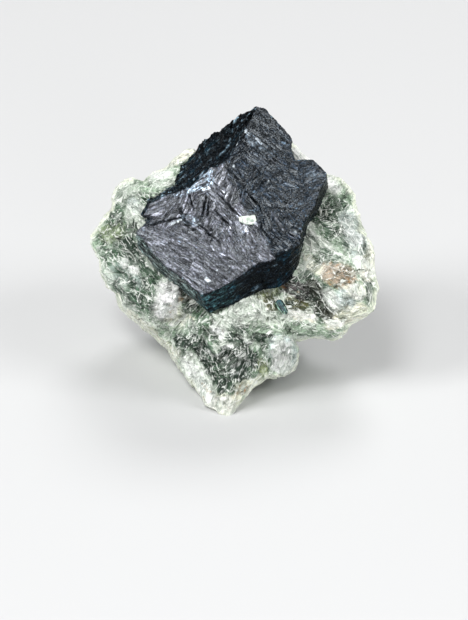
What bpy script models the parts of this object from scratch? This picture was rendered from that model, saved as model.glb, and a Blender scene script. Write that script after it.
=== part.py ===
"""Tourmaline in matrix: a dark crystal seated in a mica rock that stands on its own flat foot.

World: metres, +Z up, +Y away from the viewer, origin on the flat foot. The outlines are drawn in the
plane of a viewer who looks down on the piece by VIEW_ELEVATION: right, up and near, in millimetres.
"""

import math

import bmesh
import bpy
import numpy as np
from mathutils import Matrix, Vector

MM = 0.001
VIEW_ELEVATION = math.radians(30.0)
FOOT_MIDDLE = (1.0, 14.0)  # X and Y of the foot's middle before the origin is moved to it
SOCKET_SIDE = 0.55  # growth of a socket's cutter across the viewer's line, for a gap of about 0.3
SOCKET_END = 0.34  # growth of a socket's cutter along the viewer's line
ROOT_CLEARANCE = 0.6  # growth of the socket's cutter past the crystal's root

ROCK_CENTRE = (1.5, 21.5)
ROCK_SEGMENTS = 104
ROCK_RINGS = 34
ROCK_LUMP = (0.6, 6.0, 11)  # height, size and seed of the rounded lumps
ROCK_PLATE = (0.8, 4.2, 23)  # height, size and seed of the broken plates
ROCK_GRAIN = (0.3, 1.9, 37)  # height, size and seed of the small ledges
RIM_ROUNDING = 8.0
SOFT_EDGE = 0.6
BACK_ROUNDING = 2.8
PUSH_CORE = -6.0  # near value of the middle that the relief is pushed away from
PUSH_NEAR = 1.4  # how much more the relief is pushed along the viewer's line than across it
SPOT_SOFTNESS = 0.8  # added to a spot's squared distance, so that its weight stays finite
SPOT_POWER = 1.5
PLATE_TILT = 1.6
PLATE_GAIN = 1.4
TINY = 1e-6  # keeps a length of nothing from being divided by

CRYSTAL_CENTRE = (1.0, 29.5)
FACE_SLOPE = 0.33  # how far the face leans back for each millimetre up
FACE_LOW = (16.8, 10.0)  # up and near of the face's lowest corner
RIDGE_FOOT = (0.7, 34.6)
RIDGE_TURN = (0.889, 0.457)  # across the low ridge that splits the face in two
RIDGE_FALL = (0.05, 0.09)  # fall on the ridge's left and right
SPLITS = 2  # segments between two corners of the crystal
FACE_RINGS = 10
WALL_RINGS = 4
ROOT_RINGS = 4
ROOT_DEPTH = 4.0
ROOT_TAPER = 0.72
ROOT_MIDDLE = (1.0, 28.0)
ROOT_END = -6.0
CRYSTAL_CHIP = (0.22, 1.6, 71)  # height, size and seed of the chips on the walls
CLEFT_ONSET = 4.0  # how fast the clefts gain their depth away from the face's centre

SMALL_CENTRE = (8.7, 15.0, 5.4)
SMALL_LENGTH = 2.6
SMALL_RADIUS = 0.55
SMALL_TAPER = 0.7
SMALL_TURN = math.radians(-56.0)
SMALL_RISE = math.radians(24.0)

FLAKE_LIFT = 0.35
FLAKE_THICKNESS = 0.35
FLAKE_OUTLINE = (
    (2.9, 26.7), (4.0, 26.4), (5.0, 26.7), (5.2, 27.2), (4.9, 27.7), (4.1, 27.6), (2.9, 27.6), (2.4, 27.3),
)

FLOOR_BLOCK = (0.12, 0.12, 0.04)  # metres

GREEN_MICA = ((0.42, 0.50, 0.42), 0.6)  # colour and roughness
BLACK_TOURMALINE = ((0.035, 0.042, 0.055), 0.35)
BLUE_GREEN_TOURMALINE = ((0.03, 0.08, 0.08), 0.3)
WHITE_MICA = ((0.72, 0.78, 0.72), 0.45)

# The rock as the viewer sees it, clockwise from the left of the crystal's top: right, up, near.
ROCK_OUTLINE = (
    (3.5, 39.3, -4.6), (6.4, 39.4, -4.2), (8.7, 38.8, -3.6), (10.2, 38.5, -3.0), (11.2, 37.1, -3.0),
    (12.3, 36.0, -3.4), (13.2, 35.4, -4.0), (14.3, 34.3, -4.4), (15.5, 33.8, -4.6), (16.4, 33.5, -4.7),
    (17.0, 33.4, -4.8), (17.6, 32.7, -4.8), (18.2, 32.1, -4.6), (19.2, 31.0, -4.2), (19.1, 29.4, -3.8),
    (19.5, 28.2, -3.2), (19.7, 26.9, -2.4), (20.7, 24.8, -1.2), (21.5, 22.5, 0.2), (21.6, 20.1, 1.4),
    (22.2, 17.7, 2.8), (21.6, 14.9, 3.2), (21.0, 14.3, 3.0), (19.8, 13.3, 2.4), (18.5, 12.6, 1.8),
    (18.0, 11.8, 1.4), (17.1, 10.8, 0.8), (15.9, 10.2, 0.4), (14.8, 10.5, 0.1), (12.6, 10.7, -0.5),
    (11.2, 10.4, -1.2), (10.6, 10.1, -1.6), (11.0, 9.3, -2.0), (11.2, 8.4, -2.4), (11.0, 7.1, -2.8),
    (10.3, 5.9, -3.0), (9.1, 5.2, -2.8), (8.1, 5.2, -2.6), (6.5, 5.1, -2.2), (5.6, 4.3, -1.8),
    (4.8, 3.9, -1.4), (3.9, 2.8, -0.9), (2.1, 0.3, -0.3), (1.4, -0.2, 0.0), (0.5, -0.3, 0.1),
    (-0.2, -0.1, 0.0), (-1.1, 0.6, -0.4), (-2.2, 1.1, -1.2), (-2.7, 2.2, -2.4), (-4.4, 4.4, -5.2),
    (-5.1, 5.4, -7.0), (-6.7, 7.4, -10.2), (-7.6, 9.1, -13.0), (-8.5, 9.6, -13.6), (-9.5, 10.9, -13.8),
    (-11.1, 12.0, -13.6), (-12.7, 13.4, -13.2), (-14.0, 14.4, -12.8), (-14.5, 15.1, -12.5),
    (-15.1, 17.2, -12.0), (-16.2, 18.0, -11.6), (-17.2, 20.2, -11.0), (-17.8, 22.5, -10.4),
    (-18.1, 23.2, -10.0), (-18.5, 24.0, -9.7), (-18.4, 25.4, -9.5), (-17.2, 27.0, -9.3),
    (-16.9, 27.7, -9.2), (-16.3, 28.4, -9.0), (-15.7, 29.1, -8.8), (-15.5, 30.0, -8.6),
    (-15.8, 30.7, -8.4), (-15.4, 31.9, -8.0), (-14.3, 32.9, -7.6), (-12.5, 33.5, -7.2),
    (-11.1, 33.0, -6.8), (-9.6, 34.2, -6.5), (-7.9, 34.8, -6.2), (-6.9, 35.9, -6.2), (-5.4, 37.0, -6.4),
    (-4.0, 37.9, -6.6), (-3.0, 36.9, -6.4), (-1.0, 37.4, -5.0), (1.0, 38.5, -4.8),
)

# Heights of the rock's front: right, up, near.
ROCK_FRONT = (
    (-16.8, 23.8, -6.0), (-14.7, 26.6, -3.4), (-14.0, 21.7, -4.0), (-15.4, 18.2, -6.2), (-12.3, 24.4, -0.9),
    (-11.8, 19.6, -2.0), (-9.6, 21.2, -0.4), (-9.8, 16.1, -1.2), (-7.8, 16.1, 2.9), (-6.2, 17.6, 3.2),
    (-11.6, 14.6, -6.0), (-8.2, 11.3, -6.5), (-14.6, 30.8, -3.4), (-12.5, 31.5, -0.6), (-9.8, 32.6, 0.4),
    (-8.0, 32.4, 0.8), (-11.1, 29.4, 1.4), (-13.2, 27.9, -1.4), (-9.6, 28.4, 1.6), (-3.6, 16.0, 1.6),
    (-2.0, 12.5, 5.8), (0.8, 13.4, 6.4), (3.4, 14.3, 6.3), (6.2, 15.5, 5.7), (9.1, 16.8, 2.8),
    (-0.7, 9.7, 5.2), (2.8, 9.7, 5.4), (-4.1, 9.7, 1.0), (-5.5, 7.6, -4.0), (-2.8, 4.8, -0.8),
    (-0.7, 6.2, 2.2), (2.8, 6.3, 3.0), (0.7, 2.7, 1.7), (0.6, 0.6, 0.5), (5.5, 6.2, 1.8),
    (8.3, 7.6, 0.8), (9.8, 6.9, -0.6), (5.8, 10.4, 4.6), (9.0, 11.8, 5.1), (12.5, 12.5, 5.0),
    (15.3, 12.5, 4.2), (17.4, 13.9, 3.6), (11.1, 16.0, 2.4), (13.2, 16.8, 1.9), (13.9, 18.8, 4.6),
    (16.0, 20.2, 5.2), (17.4, 16.7, 5.6), (20.2, 17.4, 5.0), (20.9, 20.9, 2.8), (18.1, 23.7, 1.4),
    (15.3, 24.4, 0.8), (13.2, 24.4, 0.6), (16.7, 27.9, -1.4), (15.3, 30.7, -2.6), (18.1, 30.0, -3.8),
    (16.7, 32.1, -3.9), (1.4, 28.6, -2.6), (5.5, 35.6, -3.4), (11.1, 36.4, -2.4), (-3.0, 34.0, -4.2),
)

# Depths of the rock's back: right, up, near.
ROCK_BACK = (
    (-12.0, 27.0, -15.0), (-9.0, 18.0, -19.0), (-4.0, 11.0, -21.5), (0.0, 5.0, -17.0), (4.0, 10.0, -23.0),
    (8.0, 7.5, -19.5), (9.0, 12.0, -22.0), (14.0, 17.0, -15.5), (16.0, 25.0, -11.5), (9.0, 24.0, -16.5),
    (0.0, 24.0, -19.0), (-4.0, 31.0, -16.0), (6.0, 33.0, -15.0), (14.0, 31.0, -10.5),
)

# The crystal's corners, clockwise from its top: right and up of the face's corner, then right, up and
# near of the corner behind it, where the wall's outer edge runs.
CRYSTAL_CORNERS = (
    (5.1, 43.2, 4.9, 42.9, -1.4), (6.3, 42.8, 6.4, 41.4, -2.8), (8.4, 40.7, 8.4, 39.2, -3.9),
    (10.1, 38.6, 9.9, 37.1, -3.9), (9.9, 37.5, 9.8, 36.0, -3.9), (10.4, 35.6, 10.4, 34.0, -3.5),
    (11.6, 35.7, 11.6, 34.0, -3.5), (12.9, 35.7, 13.0, 34.0, -3.5), (14.8, 33.9, 15.1, 32.9, -3.5),
    (14.8, 32.6, 15.2, 31.9, -2.8), (13.8, 31.2, 14.4, 30.1, -2.1), (13.2, 29.1, 13.6, 28.2, -1.4),
    (12.1, 27.4, 12.1, 25.7, -0.8), (11.5, 26.7, 11.8, 24.0, 0.0), (11.2, 24.9, 11.3, 22.1, 0.7),
    (11.1, 23.8, 10.9, 20.7, 2.0), (9.8, 23.2, 10.0, 19.1, 3.0), (7.7, 22.4, 9.0, 18.3, 3.9),
    (7.7, 21.7, 7.9, 17.7, 4.5), (5.6, 21.3, 6.0, 17.5, 4.9), (4.1, 20.4, 4.1, 16.7, 5.3),
    (2.2, 19.0, 1.8, 15.4, 5.9), (0.1, 17.7, 0.0, 14.8, 6.3), (-2.5, 16.8, -1.5, 14.3, 6.3),
    (-4.9, 18.8, -4.6, 17.0, 2.8), (-7.0, 20.2, -7.0, 18.8, 2.1), (-9.1, 22.5, -9.0, 20.4, 0.7),
    (-11.5, 25.4, -11.3, 23.7, -0.7), (-9.5, 27.4, -10.6, 26.6, -2.0), (-10.6, 27.9, -11.4, 28.3, -3.4),
    (-9.8, 29.5, -10.6, 32.0, -5.2), (-7.6, 30.5, -8.4, 34.4, -5.6), (-4.1, 31.6, -6.8, 35.1, -5.5),
    (-1.4, 34.3, -4.0, 36.7, -5.4), (-0.3, 34.5, -2.4, 38.5, -5.0), (1.4, 36.0, -0.3, 40.1, -4.6),
    (2.7, 38.5, 1.6, 41.3, -3.2), (4.5, 41.7, 3.8, 42.6, -1.8),
)

# Clefts in the crystal's face: right and up of both ends, then width and depth.
CLEFTS = (
    (3.5, 39.3, 7.8, 35.9, 0.45, 0.4), (-0.3, 30.9, 2.6, 27.8, 0.4, 0.35),
    (-1.8, 30.4, -2.6, 27.2, 0.45, 0.4), (-10.3, 26.3, -5.6, 27.6, 0.5, 0.45),
    (3.7, 31.2, 5.7, 28.9, 0.4, 0.3), (-3.1, 26.8, 0.1, 24.0, 0.5, 0.4),
    (5.8, 25.9, 7.7, 23.8, 0.4, 0.3), (-5.6, 29.0, -4.2, 25.8, 0.6, 0.35),
)


def clear_scene():
    """Removes whatever the scene holds."""
    for thing in list(bpy.data.objects):
        bpy.data.objects.remove(thing, do_unlink=True)


def new_collection(name):
    """A collection of this name in the scene."""
    collection = bpy.data.collections.new(name)
    bpy.context.scene.collection.children.link(collection)
    return collection


def adopt(name, collection):
    """Names the primitive that was just added and moves it to the collection."""
    made = bpy.context.object
    made.name = name
    for owner in list(made.users_collection):
        owner.objects.unlink(made)
    collection.objects.link(made)
    return made


def unit_points(made):
    """The vertices of a primitive as an array."""
    points = np.empty(len(made.data.vertices) * 3)
    made.data.vertices.foreach_get("co", points)
    return points.reshape(-1, 3)


def make_material(name, colour, roughness):
    """A stone finish with its colour and roughness."""
    material = bpy.data.materials.new(name)
    material.use_nodes = True
    shader = material.node_tree.nodes["Principled BSDF"]
    shader.inputs["Base Color"].default_value = (*colour, 1.0)
    shader.inputs["Roughness"].default_value = roughness
    shader.inputs["Metallic"].default_value = 0.0
    return material


def turned(right, up, near):
    """The world direction of a view-plane direction."""
    low, high = math.sin(VIEW_ELEVATION), math.cos(VIEW_ELEVATION)
    return np.stack([right, up * low - near * high, up * high + near * low], axis=-1)


def to_world(right, up, near):
    """Turns view-plane millimetres into world metres."""
    return (turned(right, up, near) - np.array([*FOOT_MIDDLE, 0.0])) * MM


def lattice(cell, seed):
    """A fixed number from 0 to 1 for each whole-number cell."""
    cell = cell.astype(np.int64)
    mixed = cell[..., 0] * 374761393 + cell[..., 1] * 668265263 + cell[..., 2] * 1442695041 + seed * 97531
    mixed = (mixed ^ (mixed >> 13)) * 1274126177 & 0xFFFFFFFF
    mixed = (mixed ^ (mixed >> 16)) * 2246822519 & 0xFFFFFFFF
    return (mixed ^ (mixed >> 15)) / 4294967295.0


def smooth_noise(points, size, seed):
    """Noise from -1 to 1: the lattice's numbers, blended smoothly between its points."""
    spot = points / size
    cell = np.floor(spot)
    part = spot - cell
    part = part * part * (3.0 - 2.0 * part)
    total = np.zeros(points.shape[:-1])
    for corner in np.ndindex(2, 2, 2):
        share = np.prod(np.where(corner, part, 1.0 - part), axis=-1)
        total += share * lattice(cell + corner, seed)
    return total * 2.0 - 1.0


def plate_noise(points, size, seed):
    """Broken plates from -1 to 1: each cell has a height of its own and a tilt about its middle."""
    cell = np.floor(points / size)
    best = np.full(points.shape[:-1], np.inf)
    height = np.zeros(points.shape[:-1])
    for step in np.ndindex(3, 3, 3):
        near_cell = cell + np.array(step) - 1
        middle = np.stack([lattice(near_cell, seed + axis) for axis in range(3)], axis=-1)
        offset = points - (near_cell + middle) * size
        distance = (offset**2).sum(axis=-1)
        tilt = np.stack([lattice(near_cell, seed + 3 + axis) for axis in range(3)], axis=-1) - 0.5
        plate = lattice(near_cell, seed + 6) - 0.5 + (offset * tilt).sum(axis=-1) / size * PLATE_TILT
        closer = distance < best
        best = np.where(closer, distance, best)
        height = np.where(closer, plate, height)
    return np.clip(height * PLATE_GAIN, -1.0, 1.0)


def relief(points, layer, noise):
    """The push of one layer of relief, given as its height, size and seed."""
    height, size, seed = layer
    return height * noise(points, size, seed)


def weighted_height(right, up, spots):
    """The near value at each place: the given spots, each weighted by one over its distance cubed."""
    spots = np.array(spots)
    apart = (right[:, None] - spots[:, 0]) ** 2 + (up[:, None] - spots[:, 1]) ** 2
    weight = 1.0 / (apart + SPOT_SOFTNESS) ** SPOT_POWER
    return (weight * spots[:, 2]).sum(axis=1) / weight.sum(axis=1)


def along_outline(share, outline):
    """Points at these shares of the closed outline's length."""
    closed = np.array(outline + outline[:1])
    lengths = np.hypot(*np.diff(closed[:, :2], axis=0).T)
    at = np.concatenate([[0.0], np.cumsum(lengths)]) / lengths.sum()
    return np.stack([np.interp(share, at, closed[:, axis]) for axis in range(3)], axis=-1)


def rock_points(turn, fall):
    """The rock's surface: turn runs round the outline, fall from the front's middle over it to the back.

    Each half moves in from the outline to the centre. The front takes its heights from ROCK_FRONT and
    the back from ROCK_BACK, both drawn to the outline at the rim. Lumps and broken plates push it out.
    """
    rim = along_outline(turn, ROCK_OUTLINE)
    reach = np.sin(fall * math.pi)
    centre = np.array(ROCK_CENTRE)
    flat = centre + (rim[:, :2] - centre) * reach[:, None]
    front_share = (1.0 - reach**RIM_ROUNDING) ** SOFT_EDGE
    back_share = (1.0 - reach**BACK_ROUNDING) ** SOFT_EDGE
    front = weighted_height(flat[:, 0], flat[:, 1], ROCK_FRONT)
    back = weighted_height(flat[:, 0], flat[:, 1], ROCK_BACK)
    share = np.where(fall < 0.5, front_share, back_share)
    near = rim[:, 2] * (1.0 - share) + np.where(fall < 0.5, front, back) * share
    points = np.stack([flat[:, 0], flat[:, 1], near], axis=-1)
    push = relief(points, ROCK_LUMP, smooth_noise)
    push += relief(points, ROCK_PLATE, plate_noise)
    push += relief(points, ROCK_GRAIN, plate_noise)
    outward = np.stack([*(flat - centre).T, (near - PUSH_CORE) * PUSH_NEAR], axis=-1)
    outward /= np.linalg.norm(outward, axis=-1, keepdims=True)
    return points + outward * push[:, None]


def face_near(right, up):
    """The crystal's face: a plane that leans back, with a low ridge across it."""
    across = (right - RIDGE_FOOT[0]) * RIDGE_TURN[0] + (up - RIDGE_FOOT[1]) * RIDGE_TURN[1]
    fall = np.where(across < 0.0, -RIDGE_FALL[0] * across, RIDGE_FALL[1] * across)
    return FACE_LOW[1] - FACE_SLOPE * (up - FACE_LOW[0]) - fall


def cleft_depth(right, up):
    """How deep the clefts are at each place: a rounded groove about each cleft's line."""
    depth = np.zeros(right.shape)
    for start_right, start_up, end_right, end_up, width, deepest in CLEFTS:
        run = np.array([end_right - start_right, end_up - start_up])
        along = ((right - start_right) * run[0] + (up - start_up) * run[1]) / (run @ run)
        along = np.clip(along, 0.0, 1.0)
        apart = np.hypot(right - start_right - along * run[0], up - start_up - along * run[1])
        depth += deepest * np.exp(-((apart / width) ** 2))
    return depth


def crystal_points(turn, ring):
    """The crystal's surface: turn runs round its corners and ring from the face to the root.

    Rings 0 to FACE_RINGS spread over the face, the next WALL_RINGS run down the walls, and the last
    ROOT_RINGS close the root inside the rock. Small chips roughen the walls.
    """
    corners = np.array(CRYSTAL_CORNERS + CRYSTAL_CORNERS[:1])
    at = np.arange(len(corners)) / len(CRYSTAL_CORNERS)
    edge = np.stack([np.interp(turn, at, corners[:, axis]) for axis in range(5)], axis=-1)
    centre = np.array(CRYSTAL_CENTRE)
    face_share = np.clip(ring / FACE_RINGS, 0.0, 1.0)[:, None]
    wall_share = np.clip((ring - FACE_RINGS) / WALL_RINGS, 0.0, 1.0)[:, None]
    root_share = np.clip((ring - FACE_RINGS - WALL_RINGS) / ROOT_RINGS, 0.0, 1.0)[:, None]
    flat = centre + (edge[:, :2] - centre) * face_share
    near = face_near(flat[:, 0], flat[:, 1])
    near -= cleft_depth(flat[:, 0], flat[:, 1]) * np.clip(face_share[:, 0] * CLEFT_ONSET, 0.0, 1.0)
    face = np.stack([flat[:, 0], flat[:, 1], near], axis=-1)
    wall = face * (1.0 - wall_share) + edge[:, 2:5] * wall_share
    sinking = np.clip(root_share * 2.0, 0.0, 1.0)
    closing = np.clip(root_share * 2.0 - 1.0, 0.0, 1.0)
    middle = np.array([*ROOT_MIDDLE, 0.0])
    root = middle + (wall - middle) * (1.0 - (1.0 - ROOT_TAPER) * sinking) * (1.0 - closing)
    sunk = wall[:, 2] - ROOT_DEPTH * sinking[:, 0]
    root[:, 2] = sunk * (1.0 - closing[:, 0]) + ROOT_END * closing[:, 0]
    points = np.where(root_share > 0.0, root, wall)
    chips = relief(points, CRYSTAL_CHIP, plate_noise) * (wall_share[:, 0] > 0.0)
    outward = np.stack([*(points[:, :2] - centre).T, np.zeros(len(points))], axis=-1)
    outward /= np.linalg.norm(outward, axis=-1, keepdims=True) + TINY
    return points + outward * chips[:, None]


def grown(points, ring):
    """The crystal's points moved clear of it on every side, for the cutter of its socket."""
    apart = points[:, :2] - np.array(CRYSTAL_CENTRE)
    away = apart / (np.linalg.norm(apart, axis=1, keepdims=True) + TINY)
    side = np.where(ring < FACE_RINGS, 0.0, SOCKET_SIDE)[:, None]
    end = np.where(ring <= FACE_RINGS, SOCKET_END, 0.0)
    end = np.where(ring > FACE_RINGS + WALL_RINGS + 1, -ROOT_CLEARANCE, end)
    return np.column_stack([points[:, :2] + away * side, points[:, 2] + end])


def sphere_object(name, segments, rings, collection):
    """A UV sphere of radius 1, in the collection, and each vertex's turn and fall from 0 to 1."""
    bpy.ops.mesh.primitive_uv_sphere_add(segments=segments, ring_count=rings, radius=1.0)
    made = adopt(name, collection)
    points = unit_points(made)
    turn = np.arctan2(points[:, 1], points[:, 0]) / (2.0 * math.pi) % 1.0
    turn = np.round(turn * segments) % segments / segments
    fall = np.round(np.arccos(np.clip(points[:, 2], -1.0, 1.0)) / math.pi * rings) / rings
    return made, turn, fall


def move_vertices(made, right_up_near):
    """Puts the vertices at these view-plane places, with flat triangles that face outwards."""
    places = to_world(*right_up_near.T)
    made.data.vertices.foreach_set("co", places.astype(np.float32).ravel())
    made.data.flip_normals()
    shape = bmesh.new()
    shape.from_mesh(made.data)
    bmesh.ops.triangulate(shape, faces=shape.faces, quad_method="SHORT_EDGE")
    shape.to_mesh(made.data)
    shape.free()


def build_rock(collection):
    """The rock before its sockets and its foot are cut."""
    rock, turn, fall = sphere_object("matrix", ROCK_SEGMENTS, ROCK_RINGS, collection)
    move_vertices(rock, rock_points(turn, fall))
    rock.data.materials.append(make_material("pale_green_mica", *GREEN_MICA))
    return rock


def build_crystal(name, collection, is_socket):
    """The large crystal, or the slightly larger cutter of its socket."""
    rings = FACE_RINGS + WALL_RINGS + ROOT_RINGS
    segments = SPLITS * len(CRYSTAL_CORNERS)
    crystal, turn, fall = sphere_object(name, segments, rings, collection)
    ring = np.round(fall * rings)
    points = crystal_points(turn, ring)
    move_vertices(crystal, grown(points, ring) if is_socket else points)
    return crystal


def build_small_crystal(name, collection, growth):
    """The little six-sided crystal, or the cutter of its socket, which is larger by the growth."""
    bpy.ops.mesh.primitive_cone_add(
        vertices=6,
        radius1=(SMALL_RADIUS + growth) * MM,
        radius2=(SMALL_RADIUS * SMALL_TAPER + growth) * MM,
        depth=(SMALL_LENGTH + 2.0 * growth) * MM,
    )
    small = adopt(name, collection)
    small.location = to_world(*[np.array(value) for value in SMALL_CENTRE])
    tip = turned(
        np.array(math.cos(SMALL_TURN) * math.cos(SMALL_RISE)),
        np.array(math.sin(SMALL_TURN) * math.cos(SMALL_RISE)),
        np.array(math.sin(SMALL_RISE)),
    )
    small.rotation_mode = "QUATERNION"
    small.rotation_quaternion = Vector(tip).to_track_quat("Z", "Y")
    return small


def build_flake(collection):
    """The mica flake on the crystal's face: its outline, lifted off the face and given a thickness."""
    outline = np.array(FLAKE_OUTLINE)
    near = face_near(outline[:, 0], outline[:, 1]) + FLAKE_LIFT
    mesh = bpy.data.meshes.new("mica_flake")
    places = to_world(outline[:, 0], outline[:, 1], near)
    mesh.from_pydata(places.tolist(), [], [list(range(len(outline)))])
    flake = bpy.data.objects.new("mica_flake", mesh)
    collection.objects.link(flake)
    solidify = flake.modifiers.new("thickness", "SOLIDIFY")
    solidify.thickness = FLAKE_THICKNESS * MM
    solidify.offset = 1.0
    flake.data.materials.append(make_material("white_mica", *WHITE_MICA))
    return flake


def cut(target, cutter):
    """Takes the cutter out of the target."""
    boolean = target.modifiers.new(cutter.name, "BOOLEAN")
    boolean.operation = "DIFFERENCE"
    boolean.solver = "EXACT"
    boolean.object = cutter
    cutter.hide_render = True
    cutter.display_type = "WIRE"


def drop_loose_chips(target):
    """Fixes the target's cuts into its mesh and deletes the small bodies that they left loose."""
    graph = bpy.context.evaluated_depsgraph_get()
    fixed = bpy.data.meshes.new_from_object(target.evaluated_get(graph))
    target.modifiers.clear()
    target.data = fixed
    shape = bmesh.new()
    shape.from_mesh(fixed)
    bodies = []
    shape.faces.ensure_lookup_table()
    unseen = set(shape.faces)
    while unseen:
        body = {min(unseen, key=lambda face: face.index)}
        front = set(body)
        while front:
            beside = {other for face in front for edge in face.edges for other in edge.link_faces}
            front = beside - body
            body |= front
        unseen -= body
        bodies.append(body)
    largest = max(bodies, key=len)
    loose = [face for face in shape.faces if face not in largest]
    bmesh.ops.delete(shape, geom=loose, context="FACES")
    shape.to_mesh(fixed)
    shape.free()


def build_floor_cutter(collection):
    """The block that takes the rock's underside off flat at Z = 0."""
    bpy.ops.mesh.primitive_cube_add(size=1.0)
    floor = adopt("floor_cutter", collection)
    floor.data.transform(Matrix.Diagonal((*FLOOR_BLOCK, 1.0)))
    floor.location = (0.0, 0.0, -FLOOR_BLOCK[2] / 2.0)
    return floor


def main():
    """Builds the four pieces and the cutters that fit them together."""
    clear_scene()
    pieces = new_collection("tourmaline_in_matrix")
    cutters = new_collection("cutters")
    rock = build_rock(pieces)
    crystal = build_crystal("tourmaline_crystal", pieces, is_socket=False)
    crystal.data.materials.append(make_material("black_blue_tourmaline", *BLACK_TOURMALINE))
    small = build_small_crystal("small_tourmaline", pieces, 0.0)
    small.data.materials.append(make_material("blue_green_tourmaline", *BLUE_GREEN_TOURMALINE))
    build_flake(pieces)
    cut(rock, build_floor_cutter(cutters))
    cut(rock, build_crystal("crystal_socket", cutters, is_socket=True))
    cut(rock, build_small_crystal("small_socket", cutters, SOCKET_END))
    drop_loose_chips(rock)


main()
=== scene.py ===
"""The looks of a tourmaline crystal in mica rock: flaky green rock, a black-blue crystal and soft light.

Every shape is drawn in the plane of a viewer who looks down on the piece by VIEW_ELEVATION, as right,
up and near in millimetres, and turned into the frame's metres at the end. A surface is a grid whose
columns run round an outline and whose rows run from the middle of the front over the rim to the back.
"""

import logging
import math
from dataclasses import dataclass, field
from enum import Enum

import bpy
import numpy as np
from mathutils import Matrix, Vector


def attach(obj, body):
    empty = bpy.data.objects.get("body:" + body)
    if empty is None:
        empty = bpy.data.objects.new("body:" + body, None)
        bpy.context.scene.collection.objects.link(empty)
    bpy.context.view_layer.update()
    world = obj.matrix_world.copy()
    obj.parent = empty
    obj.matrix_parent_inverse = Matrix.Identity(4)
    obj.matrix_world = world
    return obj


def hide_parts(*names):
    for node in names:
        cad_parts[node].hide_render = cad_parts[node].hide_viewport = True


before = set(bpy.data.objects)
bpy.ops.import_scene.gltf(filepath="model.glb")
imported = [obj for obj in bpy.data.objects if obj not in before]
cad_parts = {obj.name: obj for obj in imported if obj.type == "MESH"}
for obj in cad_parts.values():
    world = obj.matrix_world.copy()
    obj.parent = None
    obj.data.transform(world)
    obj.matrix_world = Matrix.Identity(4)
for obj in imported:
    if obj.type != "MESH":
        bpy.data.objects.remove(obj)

Array = np.ndarray
Colour = tuple[float, float, float]
Stops = tuple[tuple[float, Colour], ...]
Socket = bpy.types.NodeSocket

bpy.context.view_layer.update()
BODY = "root"
MM = 0.001
VIEW_ELEVATION = math.radians(30.0)
FOOT_MIDDLE = (1.0, 14.0)

# Points of the rock in the view plane, in millimetres: right, up and near.
ROCK_CENTRE = (1.5, 21.5)
ROCK_OUTLINE = (
    (3.5, 39.3, -4.6), (6.4, 39.4, -4.2), (8.7, 38.8, -3.6), (10.2, 38.5, -3.0), (11.2, 37.1, -3.0),
    (12.3, 36.0, -3.4), (13.2, 35.4, -4.0), (14.3, 34.3, -4.4), (15.5, 33.8, -4.6), (16.4, 33.5, -4.7),
    (17.0, 33.4, -4.8), (17.6, 32.7, -4.8), (18.2, 32.1, -4.6), (19.2, 31.0, -4.2), (19.1, 29.4, -3.8),
    (19.5, 28.2, -3.2), (19.7, 26.9, -2.4), (20.7, 24.8, -1.2), (21.5, 22.5, 0.2), (21.6, 20.1, 1.4),
    (22.2, 17.7, 2.8), (21.6, 14.9, 3.2), (21.0, 14.3, 3.0), (19.8, 13.3, 2.4), (18.5, 12.6, 1.8),
    (18.0, 11.8, 1.4), (17.1, 10.8, 0.8), (15.9, 10.2, 0.4), (14.8, 10.5, 0.1), (12.6, 10.7, -0.5),
    (11.2, 10.4, -1.2), (10.6, 10.1, -1.6), (11.0, 9.3, -2.0), (11.2, 8.4, -2.4), (11.0, 7.1, -2.8),
    (10.3, 5.9, -3.0), (9.1, 5.2, -2.8), (8.1, 5.2, -2.6), (6.5, 5.1, -2.2), (5.6, 4.3, -1.8),
    (4.8, 3.9, -1.4), (3.9, 2.8, -0.9), (2.1, 0.3, -0.3), (1.4, -0.2, 0.0), (0.5, -0.3, 0.1),
    (-0.2, -0.1, 0.0), (-1.1, 0.6, -0.4), (-2.2, 1.1, -1.2), (-2.7, 2.2, -2.4), (-4.4, 4.4, -5.2),
    (-5.1, 5.4, -7.0), (-6.7, 7.4, -10.2), (-7.6, 9.1, -13.0), (-8.5, 9.6, -13.6), (-9.5, 10.9, -13.8),
    (-11.1, 12.0, -13.6), (-12.7, 13.4, -13.2), (-14.0, 14.4, -12.8), (-14.5, 15.1, -12.5),
    (-15.1, 17.2, -12.0), (-16.2, 18.0, -11.6), (-17.2, 20.2, -11.0), (-17.8, 22.5, -10.4),
    (-18.1, 23.2, -10.0), (-18.5, 24.0, -9.7), (-18.4, 25.4, -9.5), (-17.2, 27.0, -9.3),
    (-16.9, 27.7, -9.2), (-16.3, 28.4, -9.0), (-15.7, 29.1, -8.8), (-15.5, 30.0, -8.6),
    (-15.8, 30.7, -8.4), (-15.4, 31.9, -8.0), (-14.3, 32.9, -7.6), (-12.5, 33.5, -7.2),
    (-11.1, 33.0, -6.8), (-9.6, 34.2, -6.5), (-7.9, 34.8, -6.2), (-6.9, 35.9, -6.2), (-5.4, 37.0, -6.4),
    (-4.0, 37.9, -6.6), (-3.0, 36.9, -6.4), (-1.0, 37.4, -5.0), (1.0, 38.5, -4.8),
)
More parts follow.
